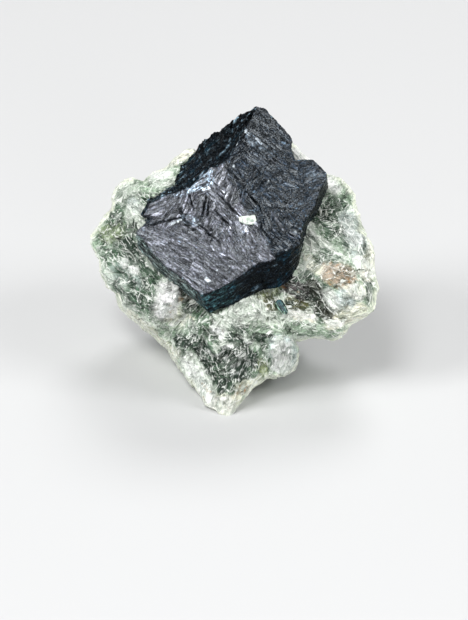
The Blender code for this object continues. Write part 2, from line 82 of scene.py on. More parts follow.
ROCK_FRONT = (
    (-16.8, 23.8, -6.0), (-14.7, 26.6, -3.4), (-14.0, 21.7, -4.0), (-15.4, 18.2, -6.2), (-12.3, 24.4, -0.9),
    (-11.8, 19.6, -2.0), (-9.6, 21.2, -0.4), (-9.8, 16.1, -1.2), (-7.8, 16.1, 2.9), (-6.2, 17.6, 3.2),
    (-11.6, 14.6, -6.0), (-8.2, 11.3, -6.5), (-14.6, 30.8, -3.4), (-12.5, 31.5, -0.6), (-9.8, 31.4, 1.6),
    (-8.2, 32.6, 1.2), (-11.1, 29.4, 1.4), (-13.2, 27.9, -1.4), (-9.6, 28.4, 1.6), (-3.6, 16.0, 1.6),
    (-2.0, 12.5, 5.8), (0.8, 13.4, 6.4), (3.4, 14.3, 6.3), (6.2, 15.5, 5.7), (9.1, 16.8, 2.8),
    (-0.7, 9.7, 5.2), (2.8, 9.7, 5.4), (-4.1, 9.7, 1.0), (-5.5, 7.6, -4.0), (-2.8, 4.8, -0.8),
    (-0.7, 6.2, 2.2), (2.8, 6.3, 3.0), (0.7, 2.7, 1.7), (0.6, 0.6, 0.5), (5.5, 6.2, 1.8),
    (8.3, 7.6, 0.8), (9.8, 6.9, -0.6), (5.8, 10.4, 4.6), (9.0, 11.8, 5.1), (12.5, 12.5, 5.0),
    (15.3, 12.5, 4.2), (17.4, 13.9, 3.6), (11.1, 16.0, 2.4), (13.2, 16.8, 1.9), (13.9, 18.8, 4.6),
    (16.0, 20.2, 5.2), (17.4, 16.7, 5.6), (20.2, 17.4, 5.0), (20.9, 20.9, 2.8), (18.1, 23.7, 1.4),
    (15.3, 24.4, 0.8), (13.2, 24.4, 0.6), (16.7, 27.9, -1.4), (15.3, 30.7, -2.6), (18.1, 30.0, -3.8),
    (16.7, 32.1, -3.9), (1.4, 28.6, -2.6), (5.5, 35.6, -3.4), (11.1, 36.4, -2.4), (-3.0, 34.0, -4.2),
)
ROCK_BACK = (
    (-12.0, 27.0, -15.0), (-9.0, 18.0, -19.0), (-4.0, 11.0, -21.5), (0.0, 5.0, -17.0), (4.0, 10.0, -23.0),
    (8.0, 7.5, -19.5), (9.0, 12.0, -22.0), (14.0, 17.0, -15.5), (16.0, 25.0, -11.5), (9.0, 24.0, -16.5),
    (0.0, 24.0, -19.0), (-4.0, 31.0, -16.0), (6.0, 33.0, -15.0), (14.0, 31.0, -10.5),
)
# The crystal's corners: right and up on the face, then right, up and near at the foot of the wall.
CRYSTAL_CORNERS = (
    (5.1, 43.2, 4.9, 42.9, -1.4), (6.3, 42.8, 6.4, 41.4, -2.8), (8.4, 40.7, 8.4, 39.2, -3.9),
    (10.1, 38.6, 9.9, 37.1, -3.9), (9.9, 37.5, 9.8, 36.0, -3.9), (10.4, 35.6, 10.4, 34.0, -3.5),
    (11.6, 35.7, 11.6, 34.0, -3.5), (12.9, 35.7, 13.0, 34.0, -3.5), (14.8, 33.9, 15.1, 32.9, -3.5),
    (14.8, 32.6, 15.2, 31.9, -2.8), (13.8, 31.2, 14.4, 30.1, -2.1), (13.2, 29.1, 13.6, 28.2, -1.4),
    (12.1, 27.4, 12.1, 25.7, -0.8), (11.5, 26.7, 11.8, 24.0, 0.0), (11.2, 24.9, 11.3, 22.1, 0.7),
    (11.1, 23.8, 10.9, 20.7, 2.0), (9.8, 23.2, 10.0, 19.1, 3.0), (7.7, 22.4, 9.0, 18.3, 3.9),
    (7.7, 21.7, 7.9, 17.7, 4.5), (5.6, 21.3, 6.0, 17.5, 4.9), (4.1, 20.4, 4.1, 16.7, 5.3),
    (2.2, 19.0, 1.8, 15.4, 5.9), (0.1, 17.7, 0.0, 14.8, 6.3), (-2.5, 16.8, -1.5, 14.3, 6.3),
    (-4.9, 18.8, -4.6, 17.0, 2.8), (-7.0, 20.2, -7.0, 18.8, 2.1), (-9.1, 22.5, -9.0, 20.4, 0.7),
    (-11.5, 25.4, -11.3, 23.7, -0.7), (-9.5, 27.4, -10.6, 26.6, -2.0), (-10.6, 27.9, -11.1, 28.2, -3.0),
    (-9.8, 29.5, -10.0, 30.2, -3.0), (-7.6, 30.5, -8.2, 32.0, -3.6), (-4.1, 31.6, -6.7, 35.1, -5.5),
    (-1.4, 34.3, -4.0, 36.7, -5.4), (-0.3, 34.5, -2.4, 38.5, -5.0), (1.4, 36.0, -0.3, 40.1, -4.6),
    (2.7, 38.5, 1.6, 41.3, -3.2), (4.5, 41.7, 3.8, 42.6, -1.8),
)
# The white flake on the face: right and up.
FLAKE_OUTLINE = (
    (2.65, 26.9), (3.2, 26.65), (3.7, 26.5), (4.6, 26.4), (5.15, 27.05), (4.9, 27.85), (3.6, 27.75),
    (2.5, 27.6),
)


class Shade(Enum):
    """The colours of the mica rock, and of the shade and rim light painted on it."""

    WHITE = (0.84, 0.86, 0.82)
    CREAM = (0.83, 0.81, 0.72)
    PINK = (0.95, 0.92, 0.93)
    PALE = (0.47, 0.56, 0.46)
    YELLOW = (0.48, 0.52, 0.33)
    GREEN = (0.115, 0.2, 0.13)
    DARK_GREEN_AND_SHADE = (0.04, 0.085, 0.056)
    GLOOM = (0.065, 0.07, 0.045)
    BLUE = (0.72, 0.78, 0.78)
    GREY = (0.22, 0.24, 0.22)
    OLIVE = (0.17, 0.17, 0.07)
    BROWN = (0.68, 0.56, 0.47)
    PURPLE = (0.17, 0.145, 0.155)
    RUST = (0.50, 0.25, 0.08)
    SHADOW = (0.045, 0.04, 0.022)
    RIM_LIGHT = (0.84, 0.85, 0.76)
    TUFT = (0.9, 0.89, 0.9)
    LEAF = (0.86, 0.88, 0.82)


class CrystalShade(Enum):
    """The colours of the crystals and of the flake, and of the sheen, highlights and shade painted on the
    crystal.
    """

    BLACK_BLUE = (0.006, 0.0095, 0.014)
    PAINTED_SHEEN_GREY = (0.064, 0.066, 0.075)
    STROKE_HIGHLIGHT_AND_WEAR = (0.4, 0.41, 0.44)
    WALL = (0.002, 0.0035, 0.005)
    WALL_TEAL = (0.004, 0.022, 0.034)
    SPECK = (0.2, 0.3, 0.4)
    PALE_MARK_AND_GLINT = (0.6, 0.66, 0.68)
    PIT_SHADE = (0.002, 0.003, 0.004)
    SPARKLE = (0.5, 0.62, 0.72)
    GLINT = (0.24, 0.35, 0.41)
    LOWEST_CORNER = (0.03, 0.075, 0.08)
    LEFT_WALL = (0.16, 0.21, 0.19)
    LITTLE_BLUE = (0.014, 0.034, 0.036)
    LITTLE_GREEN = (0.22, 0.34, 0.25)
    FLAKE = (0.72, 0.78, 0.72)
    FLAKE_GREEN = (0.36, 0.47, 0.39)
    FLAKE_CRACK = (0.12, 0.17, 0.14)


# Colour zones of the rock, painted in this order: right and up of both ends, radius, strength, shade.
ROCK_ZONES = (
    (-15.2, 25.0, -11.2, 17.0, 2.6, 0.75, Shade.GREEN), (14.8, 29.6, 17.6, 28.0, 2.4, 0.4, Shade.GREEN),
    (-3.0, 10.4, 4.6, 6.4, 2.2, 0.45, Shade.GREEN), (12.0, 18.6, 15.4, 14.6, 1.7, 0.6, Shade.GREEN),
    (-14.0, 31.6, -13.0, 31.0, 1.9, 0.55, Shade.WHITE), (-8.8, 33.0, -8.0, 33.4, 1.6, 0.6, Shade.WHITE),
    (-10.4, 31.8, -9.6, 31.2, 0.9, 0.7, Shade.PALE), (-12.4, 29.6, -11.6, 28.8, 0.8, 0.7, Shade.BLUE),
    (-11.8, 28.2, -10.6, 26.6, 1.5, 0.7, Shade.WHITE), (-15.5, 29.2, -14.6, 28.6, 0.9, 0.8, Shade.GREEN),
    (-16.4, 27.0, -15.4, 27.4, 0.7, 0.8, Shade.GREEN), (-16.0, 25.4, -14.4, 25.8, 1.2, 0.5, Shade.YELLOW),
    (-14.8, 27.9, -14.3, 27.7, 0.4, 1.0, Shade.DARK_GREEN_AND_SHADE), (-15.6, 22.9, -14.0, 22.6, 0.6, 0.8, Shade.GREEN),
    (-13.2, 24.2, -12.0, 22.6, 0.8, 0.95, Shade.DARK_GREEN_AND_SHADE), (-12.4, 21.8, -11.2, 21.0, 0.8, 0.85, Shade.DARK_GREEN_AND_SHADE),
    (-10.8, 20.4, -9.0, 18.8, 0.8, 0.8, Shade.GREEN), (-14.6, 19.8, -12.4, 18.4, 1.5, 0.7, Shade.BLUE),
    (-13.5, 21.3, -13.4, 21.2, 0.55, 1.0, Shade.WHITE), (-12.2, 20.3, -12.0, 20.2, 0.65, 1.0, Shade.WHITE),
    (-12.8, 17.2, -11.0, 15.8, 1.1, 0.85, Shade.GREEN), (-12.2, 16.6, -11.4, 16.0, 0.5, 0.8, Shade.DARK_GREEN_AND_SHADE),
    (-7.2, 17.2, -7.6, 15.0, 1.7, 1.0, Shade.PINK), (-6.4, 13.6, -4.6, 14.4, 1.2, 0.7, Shade.CREAM),
    (-16.8, 20.6, -13.0, 14.6, 0.9, 0.7, Shade.WHITE), (-13.0, 13.9, -6.6, 8.4, 0.9, 0.8, Shade.CREAM),
    (-5.0, 17.0, -3.9, 15.6, 0.8, 1.0, Shade.SHADOW), (-4.4, 15.0, -2.8, 14.4, 0.8, 0.85, Shade.GREEN),
    (-5.6, 10.8, -4.6, 10.0, 0.7, 0.95, Shade.DARK_GREEN_AND_SHADE), (-3.6, 11.0, -2.8, 10.2, 0.5, 0.9, Shade.DARK_GREEN_AND_SHADE),
    (-4.4, 7.4, -1.2, 1.6, 1.3, 0.9, Shade.WHITE), (-0.4, 12.2, 0.2, 11.6, 1.0, 0.95, Shade.WHITE),
    # The dark zone from right 1.2, up 8.6 is painted shadow under the white shard.
    (-2.4, 9.6, 0.6, 4.6, 0.8, 0.95, Shade.DARK_GREEN_AND_SHADE), (1.2, 8.6, 2.6, 6.0, 1.3, 1.0, Shade.DARK_GREEN_AND_SHADE),
    (3.2, 9.2, 4.4, 7.6, 0.9, 0.95, Shade.DARK_GREEN_AND_SHADE), (2.2, 12.6, 3.4, 12.0, 0.7, 0.9, Shade.DARK_GREEN_AND_SHADE),
    (-3.6, 10.2, 0.2, 3.6, 0.5, 0.95, Shade.DARK_GREEN_AND_SHADE), (5.0, 11.1, 5.8, 10.8, 0.6, 0.9, Shade.DARK_GREEN_AND_SHADE),
    (6.2, 11.4, 8.0, 10.8, 0.5, 0.95, Shade.DARK_GREEN_AND_SHADE),
    (1.6, 10.9, 2.6, 10.6, 0.6, 0.9, Shade.DARK_GREEN_AND_SHADE), (0.2, 9.9, 1.4, 9.7, 0.35, 1.0, Shade.WHITE),
    (5.8, 7.0, 6.2, 6.2, 0.8, 0.8, Shade.YELLOW), (8.6, 9.6, 9.4, 7.4, 1.8, 0.9, Shade.BLUE),
    (8.6, 9.2, 9.0, 6.8, 1.3, 0.7, Shade.WHITE), (0.4, 1.4, 1.6, 1.2, 1.6, 0.95, Shade.CREAM),
    (2.6, 3.4, 5.4, 4.6, 0.8, 0.85, Shade.CREAM), (-0.2, 13.4, 5.0, 13.6, 0.9, 0.75, Shade.WHITE),
    (4.4, 12.4, 17.0, 11.6, 0.9, 0.7, Shade.PALE), (6.0, 13.2, 9.6, 13.4, 0.7, 0.7, Shade.WHITE),
    (10.4, 14.2, 12.6, 13.7, 0.7, 1.0, Shade.CREAM), (15.4, 13.2, 19.6, 14.4, 1.1, 0.95, Shade.CREAM),
    (6.6, 16.4, 7.4, 15.4, 0.7, 0.9, Shade.OLIVE), (10.0, 16.0, 11.4, 15.4, 0.9, 0.95, Shade.OLIVE),
    (12.8, 17.6, 14.6, 14.4, 1.1, 0.9, Shade.GLOOM), (12.6, 19.0, 13.4, 18.7, 0.5, 0.6, Shade.DARK_GREEN_AND_SHADE),
    (9.8, 18.2, 11.2, 17.2, 1.1, 0.95, Shade.PURPLE), (15.2, 16.8, 15.6, 15.6, 0.9, 0.8, Shade.WHITE),
    (17.2, 16.6, 17.6, 16.2, 1.2, 0.85, Shade.BLUE), (17.3, 16.4, 17.4, 16.3, 0.5, 0.7, Shade.GREY),
    (15.6, 19.8, 17.2, 19.4, 1.5, 0.9, Shade.BROWN), (18.2, 17.6, 19.2, 17.0, 1.0, 0.8, Shade.CREAM),
    (20.6, 18.8, 20.9, 16.4, 0.5, 0.8, Shade.GREY), (20.4, 22.6, 20.6, 20.0, 1.2, 0.9, Shade.CREAM),
    (13.8, 23.6, 15.4, 22.4, 1.2, 0.8, Shade.WHITE), (14.4, 22.8, 16.0, 21.8, 0.7, 0.7, Shade.GREEN),
    (12.6, 21.4, 13.6, 20.6, 0.9, 0.7, Shade.CREAM), (13.4, 21.9, 14.2, 21.2, 0.4, 0.6, Shade.GREEN),
    (15.0, 30.2, 16.6, 28.6, 1.2, 0.85, Shade.GREEN), (14.2, 27.8, 15.8, 26.2, 1.1, 0.9, Shade.GREEN),
    (14.4, 28.8, 15.0, 28.2, 0.5, 0.8, Shade.DARK_GREEN_AND_SHADE), (18.2, 27.4, 19.0, 23.8, 1.6, 0.8, Shade.BLUE),
    (15.6, 32.8, 16.2, 32.0, 1.1, 0.95, Shade.WHITE), (17.6, 31.0, 18.2, 29.4, 0.8, 0.7, Shade.PALE),
    (12.6, 25.0, 13.2, 23.4, 0.7, 0.6, Shade.GREY), (12.6, 25.8, 17.6, 21.6, 0.22, 0.95, Shade.WHITE),
    (11.0, 36.6, 13.0, 34.8, 1.4, 1.0, Shade.WHITE),
    (-7.0, 35.6, -4.2, 37.4, 0.8, 1.0, Shade.CREAM), (5.4, 17.0, 7.6, 17.4, 0.5, 0.7, Shade.YELLOW),
    (16.2, 27.4, 18.0, 22.6, 0.35, 0.8, Shade.GREEN), (19.6, 26.4, 20.2, 23.2, 0.25, 0.7, Shade.GREY),
    (-15.0, 18.4, -14.0, 17.2, 0.4, 0.85, Shade.DARK_GREEN_AND_SHADE), (-13.0, 19.4, -12.2, 18.6, 0.4, 0.85, Shade.DARK_GREEN_AND_SHADE),
    (17.0, 27.0, 19.6, 23.0, 1.7, 0.3, Shade.GREY), (-15.6, 20.0, -12.0, 16.6, 1.6, 0.35, Shade.GREEN),
    (13.0, 18.2, 14.4, 15.0, 0.8, 0.75, Shade.GLOOM), (16.0, 14.6, 16.8, 13.8, 0.4, 0.6, Shade.OLIVE),
    (-14.6, 20.6, -13.4, 19.8, 0.35, 0.8, Shade.GREEN), (-2.6, 8.4, -0.4, 5.4, 0.5, 0.9, Shade.DARK_GREEN_AND_SHADE),
    (0.2, 8.0, 3.2, 5.6, 0.9, 0.85, Shade.DARK_GREEN_AND_SHADE), (-1.0, 7.4, 1.4, 3.8, 0.7, 0.8, Shade.GREEN),
)
# Rusty specks on the rock: right and up of both ends, radius, strength.
RUST_MARKS = (
    (-5.6, 16.2, -5.4, 16.0, 0.22, 0.6), (-7.0, 14.7, -6.9, 14.6, 0.3, 0.6),
    (-3.9, 13.6, -3.8, 13.5, 0.25, 0.7),
    (0.5, 11.9, 0.8, 11.4, 0.16, 0.95), (3.0, 3.6, 3.5, 3.9, 0.32, 0.9), (2.2, 3.1, 2.4, 3.2, 0.25, 0.8),
    (1.4, 2.4, 1.6, 2.5, 0.2, 0.8), (-2.7, 4.2, -1.5, 3.4, 0.18, 0.7), (-2.5, 2.6, -2.2, 1.9, 0.16, 0.7),
    (8.6, 18.1, 8.9, 18.3, 0.35, 0.9), (16.6, 20.6, 16.9, 20.3, 0.35, 0.6),
    (18.0, 19.0, 18.3, 18.8, 0.35, 0.6),
    (15.2, 21.4, 15.4, 21.3, 0.25, 0.6), (19.4, 18.6, 19.6, 18.4, 0.2, 0.6),
    (15.0, 18.6, 15.4, 18.3, 0.3, 0.6),
    (20.0, 20.6, 20.3, 20.2, 0.3, 0.4), (-9.0, 15.2, -8.8, 15.1, 0.2, 0.4),
    (10.9, 16.9, 11.2, 17.1, 0.2, 0.6),
)
# Tufts of clean white mica: right and up of both ends, radius, strength.
WHITE_TUFTS = (
    (-7.2, 17.2, -7.6, 15.0, 1.5, 0.8), (-13.5, 21.3, -13.4, 21.2, 0.5, 0.8),
    (-12.2, 20.3, -12.0, 20.2, 0.6, 0.9),
    (-0.6, 12.2, 0.3, 11.5, 0.6, 0.8), (0.2, 9.9, 1.4, 9.7, 0.25, 0.9), (8.6, 9.2, 8.8, 7.0, 1.3, 0.6),
    (15.0, 16.8, 16.0, 15.4, 0.9, 0.4), (18.4, 17.6, 19.4, 16.8, 0.8, 0.5),
    (19.4, 21.4, 20.6, 20.0, 0.9, 0.5),
    (-4.2, 7.0, -1.4, 1.8, 0.8, 0.5), (0.2, 1.6, 1.4, 0.8, 1.1, 0.45), (9.4, 14.3, 13.0, 13.8, 0.5, 0.6),
    (11.4, 36.4, 12.8, 35.2, 1.2, 0.7), (15.6, 32.8, 16.0, 32.2, 0.8, 0.7),
    (3.2, 10.2, 4.2, 10.0, 0.15, 0.9),
    (-6.8, 12.6, -4.8, 14.0, 0.25, 0.8), (14.6, 13.2, 17.2, 13.0, 0.4, 0.6),
    (-9.6, 33.6, -7.4, 33.8, 0.4, 0.6),
    (17.6, 26.6, 18.8, 24.6, 0.9, 0.35), (2.2, 8.9, 3.0, 7.9, 0.1, 0.9), (0.9, 8.3, 1.9, 8.9, 0.1, 0.85),
    (1.4, 6.9, 2.9, 7.4, 0.1, 0.8), (3.4, 8.6, 3.9, 7.2, 0.1, 0.8), (4.2, 7.6, 3.4, 6.4, 0.1, 0.85),
    (-1.7, 8.9, -0.9, 8.0, 0.12, 0.7), (-0.7, 8.4, 0.5, 9.1, 0.1, 0.85), (1.8, 5.7, 3.0, 6.3, 0.1, 0.8),
)
# Directions of the fibres of some books: right, up, turn in degrees.
FIBRE_PATCHES = (
    (-14.0, 31.0, 24.0), (-9.0, 32.6, 30.0), (-11.6, 28.4, -40.0), (-15.4, 25.6, 20.0),
    (-12.6, 23.2, -58.0),
    (-14.6, 21.4, -34.0), (-12.8, 18.8, -30.0), (-10.0, 19.4, -50.0), (-12.0, 16.4, -38.0),
    (-14.2, 16.4, -46.0),
    (-9.6, 12.2, -40.0), (-7.4, 16.0, 64.0), (-3.6, 14.6, 48.0), (-6.0, 13.0, 36.0), (-4.6, 10.2, 40.0),
    (-2.8, 6.4, -58.0), (-1.0, 8.4, -52.0), (0.4, 11.8, -34.0), (2.4, 12.4, -30.0), (3.6, 14.0, 24.0),
    (6.8, 11.2, 16.0), (7.6, 13.4, -6.0), (11.4, 12.6, -8.0), (15.6, 12.2, -12.0), (1.6, 8.0, 40.0),
    (3.4, 6.2, 62.0), (5.6, 7.4, 70.0), (9.0, 8.4, 82.0), (0.6, 2.6, 66.0), (4.4, 4.6, 32.0),
    (6.8, 16.0, -66.0), (10.6, 15.6, -28.0), (13.8, 16.4, -56.0), (16.0, 16.0, -34.0), (17.8, 14.4, 22.0),
    (16.6, 19.6, 18.0), (20.4, 18.6, -82.0), (14.8, 22.8, -40.0), (12.8, 20.8, 52.0), (18.4, 24.8, -50.0),
    (15.6, 29.2, 38.0), (14.6, 26.8, -24.0), (17.6, 30.4, 60.0), (15.8, 32.6, 34.0), (11.8, 36.0, -48.0),
    (20.0, 22.0, 74.0), (0.6, 16.4, 60.0), (-8.4, 21.4, -50.0),
)
# Clefts in the crystal's face: right and up of both ends, width and depth.
CLEFTS = (
    (3.5, 39.3, 7.8, 35.9, 0.16, 0.3), (4.3, 39.4, 8.2, 36.3, 0.1, 0.16),
    (-0.3, 30.9, 2.6, 27.8, 0.14, 0.26),
    (-1.8, 30.4, -2.6, 27.2, 0.17, 0.34), (-1.4, 30.0, -1.8, 27.4, 0.12, 0.25),
    (-10.3, 26.3, -7.6, 27.0, 0.2, 0.42), (-7.6, 27.0, -5.4, 27.5, 0.18, 0.34),
    (-5.4, 27.5, -3.0, 26.3, 0.16, 0.28), (3.7, 31.2, 5.7, 28.9, 0.13, 0.24),
    (-3.1, 26.8, 0.1, 24.0, 0.16, 0.3), (5.8, 25.9, 7.7, 23.8, 0.13, 0.22),
    (-5.6, 29.0, -4.2, 25.8, 0.2, 0.22),
    (-0.7, 28.4, 1.2, 26.6, 0.13, 0.24), (4.2, 35.1, 5.9, 33.6, 0.1, 0.16),
    (5.8, 33.9, 4.5, 32.6, 0.1, 0.18),
    (5.6, 28.8, 11.0, 28.6, 0.1, 0.14), (5.7, 28.6, 5.9, 24.6, 0.12, 0.14),
    (7.0, 25.4, 8.6, 24.2, 0.1, 0.16),
    (0.6, 34.6, 3.0, 32.2, 0.1, 0.14), (1.5, 33.9, 3.6, 31.6, 0.09, 0.12),
    (-4.4, 31.2, -3.6, 28.6, 0.12, 0.2),
)
# Directions of the strokes on the face: right, up, turn in degrees.
LINE_PATCHES = (
    (-8.5, 24.5, -28.0), (-6.0, 21.5, -34.0), (-2.5, 19.0, -38.0), (-4.5, 24.5, -30.0), (0.5, 20.5, -36.0),
    (1.8, 23.8, -62.0), (-9.0, 28.6, 18.0), (-6.6, 28.4, 52.0), (-4.6, 29.8, 70.0), (-2.2, 29.0, 78.0),
    (-2.8, 31.6, 30.0), (-0.6, 31.0, -44.0), (0.4, 28.4, -50.0), (-1.2, 27.0, 68.0), (2.4, 30.4, 72.0),
    (3.6, 29.2, -48.0), (0.2, 33.4, 62.0), (2.2, 33.0, -44.0), (4.6, 36.6, -40.0), (6.2, 40.0, -38.0),
    (2.0, 37.4, 40.0), (8.0, 37.0, -42.0), (5.0, 33.0, 52.0), (7.6, 33.0, -38.0), (10.6, 32.6, -24.0),
    (13.0, 33.2, 30.0), (8.6, 30.0, -46.0), (11.4, 29.6, 40.0), (6.4, 27.6, -70.0), (8.6, 26.4, -52.0),
    (10.6, 25.2, -30.0), (4.6, 24.4, -64.0), (6.2, 22.8, -44.0), (3.2, 26.0, -58.0),
)
# Where the strokes on the face stand out, where it is pitted, and where the pale marks are: right and up
# of both ends, radius, strength.
STROKE_ZONES = (
    (-0.6, 31.4, 3.2, 27.6, 3.0, 1.0), (-9.0, 28.4, -6.2, 28.8, 1.6, 0.8), (7.0, 26.6, 9.6, 25.4, 1.8, 0.9),
    (3.6, 38.0, 7.4, 36.2, 1.2, 0.7), (3.6, 34.4, 5.6, 33.2, 1.3, 0.7), (11.6, 33.0, 13.2, 32.6, 1.2, 0.25),
)
PIT_ZONES = (
    (-5.6, 28.8, -4.4, 27.2, 1.0, 1.0), (-3.6, 26.8, 0.6, 24.2, 0.9, 1.0),
    (-11.0, 27.4, -9.6, 27.0, 0.8, 0.8),
    (2.6, 21.0, 7.6, 22.4, 0.5, 0.25), (9.0, 24.2, 10.8, 24.6, 0.5, 0.7),
)
# The marks near right -1.8 up 19, right 1.3 up 20.6, right -0.4 up 20.2 and right 10.4 up 25.6 are painted
# glints.
PALE_MARKS_AND_GLINTS = (
    (-6.9, 26.5, -5.4, 27.2, 0.13, 0.75), (-3.5, 26.4, -2.8, 26.6, 0.12, 0.8),
    (-1.8, 19.0, -1.4, 18.6, 0.22, 0.8),
    (2.2, 37.9, 2.3, 37.8, 0.16, 1.0), (1.9, 34.7, 1.9, 34.7, 0.18, 1.0), (1.3, 20.6, 1.3, 20.6, 0.11, 0.9),
    (-0.4, 20.2, -0.4, 20.2, 0.11, 0.8), (10.4, 25.6, 10.5, 25.5, 0.13, 0.8),
    (-7.4, 22.4, -7.2, 22.2, 0.12, 0.5),
    (-2.2, 31.4, -1.6, 31.6, 0.2, 0.9), (11.3, 38.0, 11.6, 37.6, 0.14, 0.6),
    (6.6, 32.4, 6.8, 32.6, 0.1, 0.7),
    (9.2, 22.9, 9.3, 22.8, 0.12, 0.6), (3.6, 39.6, 3.9, 39.2, 0.2, 0.6), (5.2, 38.6, 6.4, 37.4, 0.25, 0.35),
)
SPARKLE_ZONES = (
    (-5.2, 31.6, -1.8, 32.8, 0.9, 0.95), (-2.4, 33.4, -1.6, 33.8, 0.6, 0.7),
    (-6.8, 31.0, -5.0, 30.8, 0.5, 0.4),
    (4.0, 38.8, 7.2, 36.4, 0.6, 0.16), (-5.0, 27.4, -3.6, 27.0, 0.6, 0.4),
    (12.6, 33.6, 14.0, 33.0, 0.6, 0.12),
)
# Directions of the splinters on the walls, and the crack along the edge of the lower left layer.
WALL_GRAIN = (0.74, 0.62, -0.26)
LEFT_WALL_GRAIN = (0.62, -0.74, 0.26)
CRACK_LINE = ((-12.0, 26.2), (-7.6, 27.0), (-5.4, 27.4), (-3.2, 26.2), (-0.8, 24.9), (0.6, 24.0))


class Fineness(Enum):
    """How many columns and rows a surface gets."""

    ROCK = (720, 138)
    CRYSTAL = (608, 163)


def turned(points: Array) -> Array:
    """Turns view-plane directions into world directions.

    The viewer looks down by the view's elevation, so up leans back and near leans down:
    y is up times its sine less near times its cosine, and z is up times its cosine plus near times its sine.

    Args:
        points: right, up and near along the last axis.

    Returns:
        x, y and z along the last axis.
    """
    low, high = math.sin(VIEW_ELEVATION), math.cos(VIEW_ELEVATION)
    right, up, near = points[..., 0], points[..., 1], points[..., 2]
    return np.stack([right, up * low - near * high, up * high + near * low], axis=-1)


def to_world(points: Array) -> Array:
    """Turns view-plane millimetres into world metres, from the foot's middle.

    Args:
        points: right, up and near along the last axis.

    Returns:
        x, y and z in metres along the last axis.
    """
    return (turned(points) - np.array([*FOOT_MIDDLE, 0.0])) * MM


def lattice(cell: Array, seed: int) -> Array:
    """A fixed number from 0 to 1 for each whole-number cell, by mixing the bits of its place.

    Args:
        cell: whole-number places, three along the last axis.
        seed: picks another set of numbers.

    Returns:
        One number for each cell.
    """
    cell = cell.astype(np.int64)
    mixed = cell[..., 0] * 374761393 + cell[..., 1] * 668265263 + cell[..., 2] * 1442695041 + seed * 97531
    mixed = (mixed ^ (mixed >> 13)) * 1274126177 & 0xFFFFFFFF
    mixed = (mixed ^ (mixed >> 16)) * 2246822519 & 0xFFFFFFFF
    return (mixed ^ (mixed >> 15)) / 4294967295.0


def smooth_noise(points: Array, size: float, seed: int) -> Array:
    """Soft noise from -1 to 1: the lattice's numbers, blended by a smooth step between its points.

    Args:
        points: places, three along the last axis.
        size: distance between two lattice points.
        seed: picks another noise.

    Returns:
        One value for each place.
    """
    spot = points / size
    cell = np.floor(spot)
    part = spot - cell
    part = part * part * (3.0 - 2.0 * part)
    total = np.zeros(points.shape[:-1])
    for corner in np.ndindex(2, 2, 2):
        share = np.prod(np.where(corner, part, 1.0 - part), axis=-1)
        total += share * lattice(cell + corner, seed)
    return total * 2.0 - 1.0


def layered_noise(points: Array, size: float, seed: int, layers: int = 4) -> Array:
    """Soft noise summed over layers, each half the size and half the height of the one before.

    Args:
        points: places, three along the last axis.
        size: the first layer's lattice distance.
        seed: picks another noise.
        layers: how many layers.

    Returns:
        One value for each place, about -1 to 1.
    """
    total = np.zeros(points.shape[:-1])
    for layer in range(layers):
        total += smooth_noise(points, size / 2.0**layer, seed + layer) / 2.0**layer
    return total / 1.6


def nearest_cells(points: Array, size: float, seed: int) -> tuple[Array, Array]:
    """Finds each place's nearest scattered middle, one of which lies at random in each cell of a lattice.

    Args:
        points: places, three along the last axis.
        size: the lattice's distance.
        seed: picks other middles.

    Returns:
        The offset from that middle, and the middle's cell.
    """
    cell = np.floor(points / size)
    best = np.full(points.shape[:-1], np.inf)
    offset = np.zeros(points.shape)
    owner = np.zeros(points.shape)
    for step in np.ndindex(3, 3, 3):
        beside = cell + np.array(step) - 1
        middle = np.stack([lattice(beside, seed + axis) for axis in range(3)], axis=-1)
        away = points - (beside + middle) * size
        distance = (away**2).sum(axis=-1)
        closer = distance < best
        best = np.where(closer, distance, best)
        offset = np.where(closer[..., None], away, offset)
        owner = np.where(closer[..., None], beside, owner)
    return offset, owner


def plate_noise(points: Array, size: float, seed: int) -> Array:
    """Broken plates from -1 to 1: each cell has a height of its own and a tilt about its middle.

    Args:
        points: places, three along the last axis.
        size: about the width of a plate.
        seed: picks other plates.

    Returns:
        One height for each place.
    """
    offset, owner = nearest_cells(points, size, seed)
    tilt = np.stack([lattice(owner, seed + 3 + axis) for axis in range(3)], axis=-1) - 0.5
    height = lattice(owner, seed + 6) - 0.5 + (offset * tilt).sum(axis=-1) / size * 1.6
    return np.clip(height * 1.4, -1.0, 1.0)


def squeezed(points: Array, along: Array, stretch: float) -> Array:
    """Places squeezed along a direction, so that noise read there is drawn out into fibres along it.

    A place's part along the direction is divided by the stretch.

    Args:
        points: places, three along the last axis.
        along: unit direction at each place.
        stretch: how many times longer than wide a fibre is.

    Returns:
        The squeezed places.
    """
    part = (points * along).sum(axis=-1, keepdims=True)
    return points - along * part * (1.0 - 1.0 / stretch)


def book_directions(points: Array, book: float, seed: int) -> Array:
    """A unit direction for each place, the same within each book of mica.

    Args:
        points: places, three along the last axis.
        book: about the size of a book.
        seed: picks other directions.

    Returns:
        One direction for each place.
    """
    _, owner = nearest_cells(points, book, seed)
    along = np.stack([lattice(owner, seed + 3 + axis) for axis in range(3)], axis=-1) - 0.5
    return along / (np.linalg.norm(along, axis=-1, keepdims=True) + 1e-6)


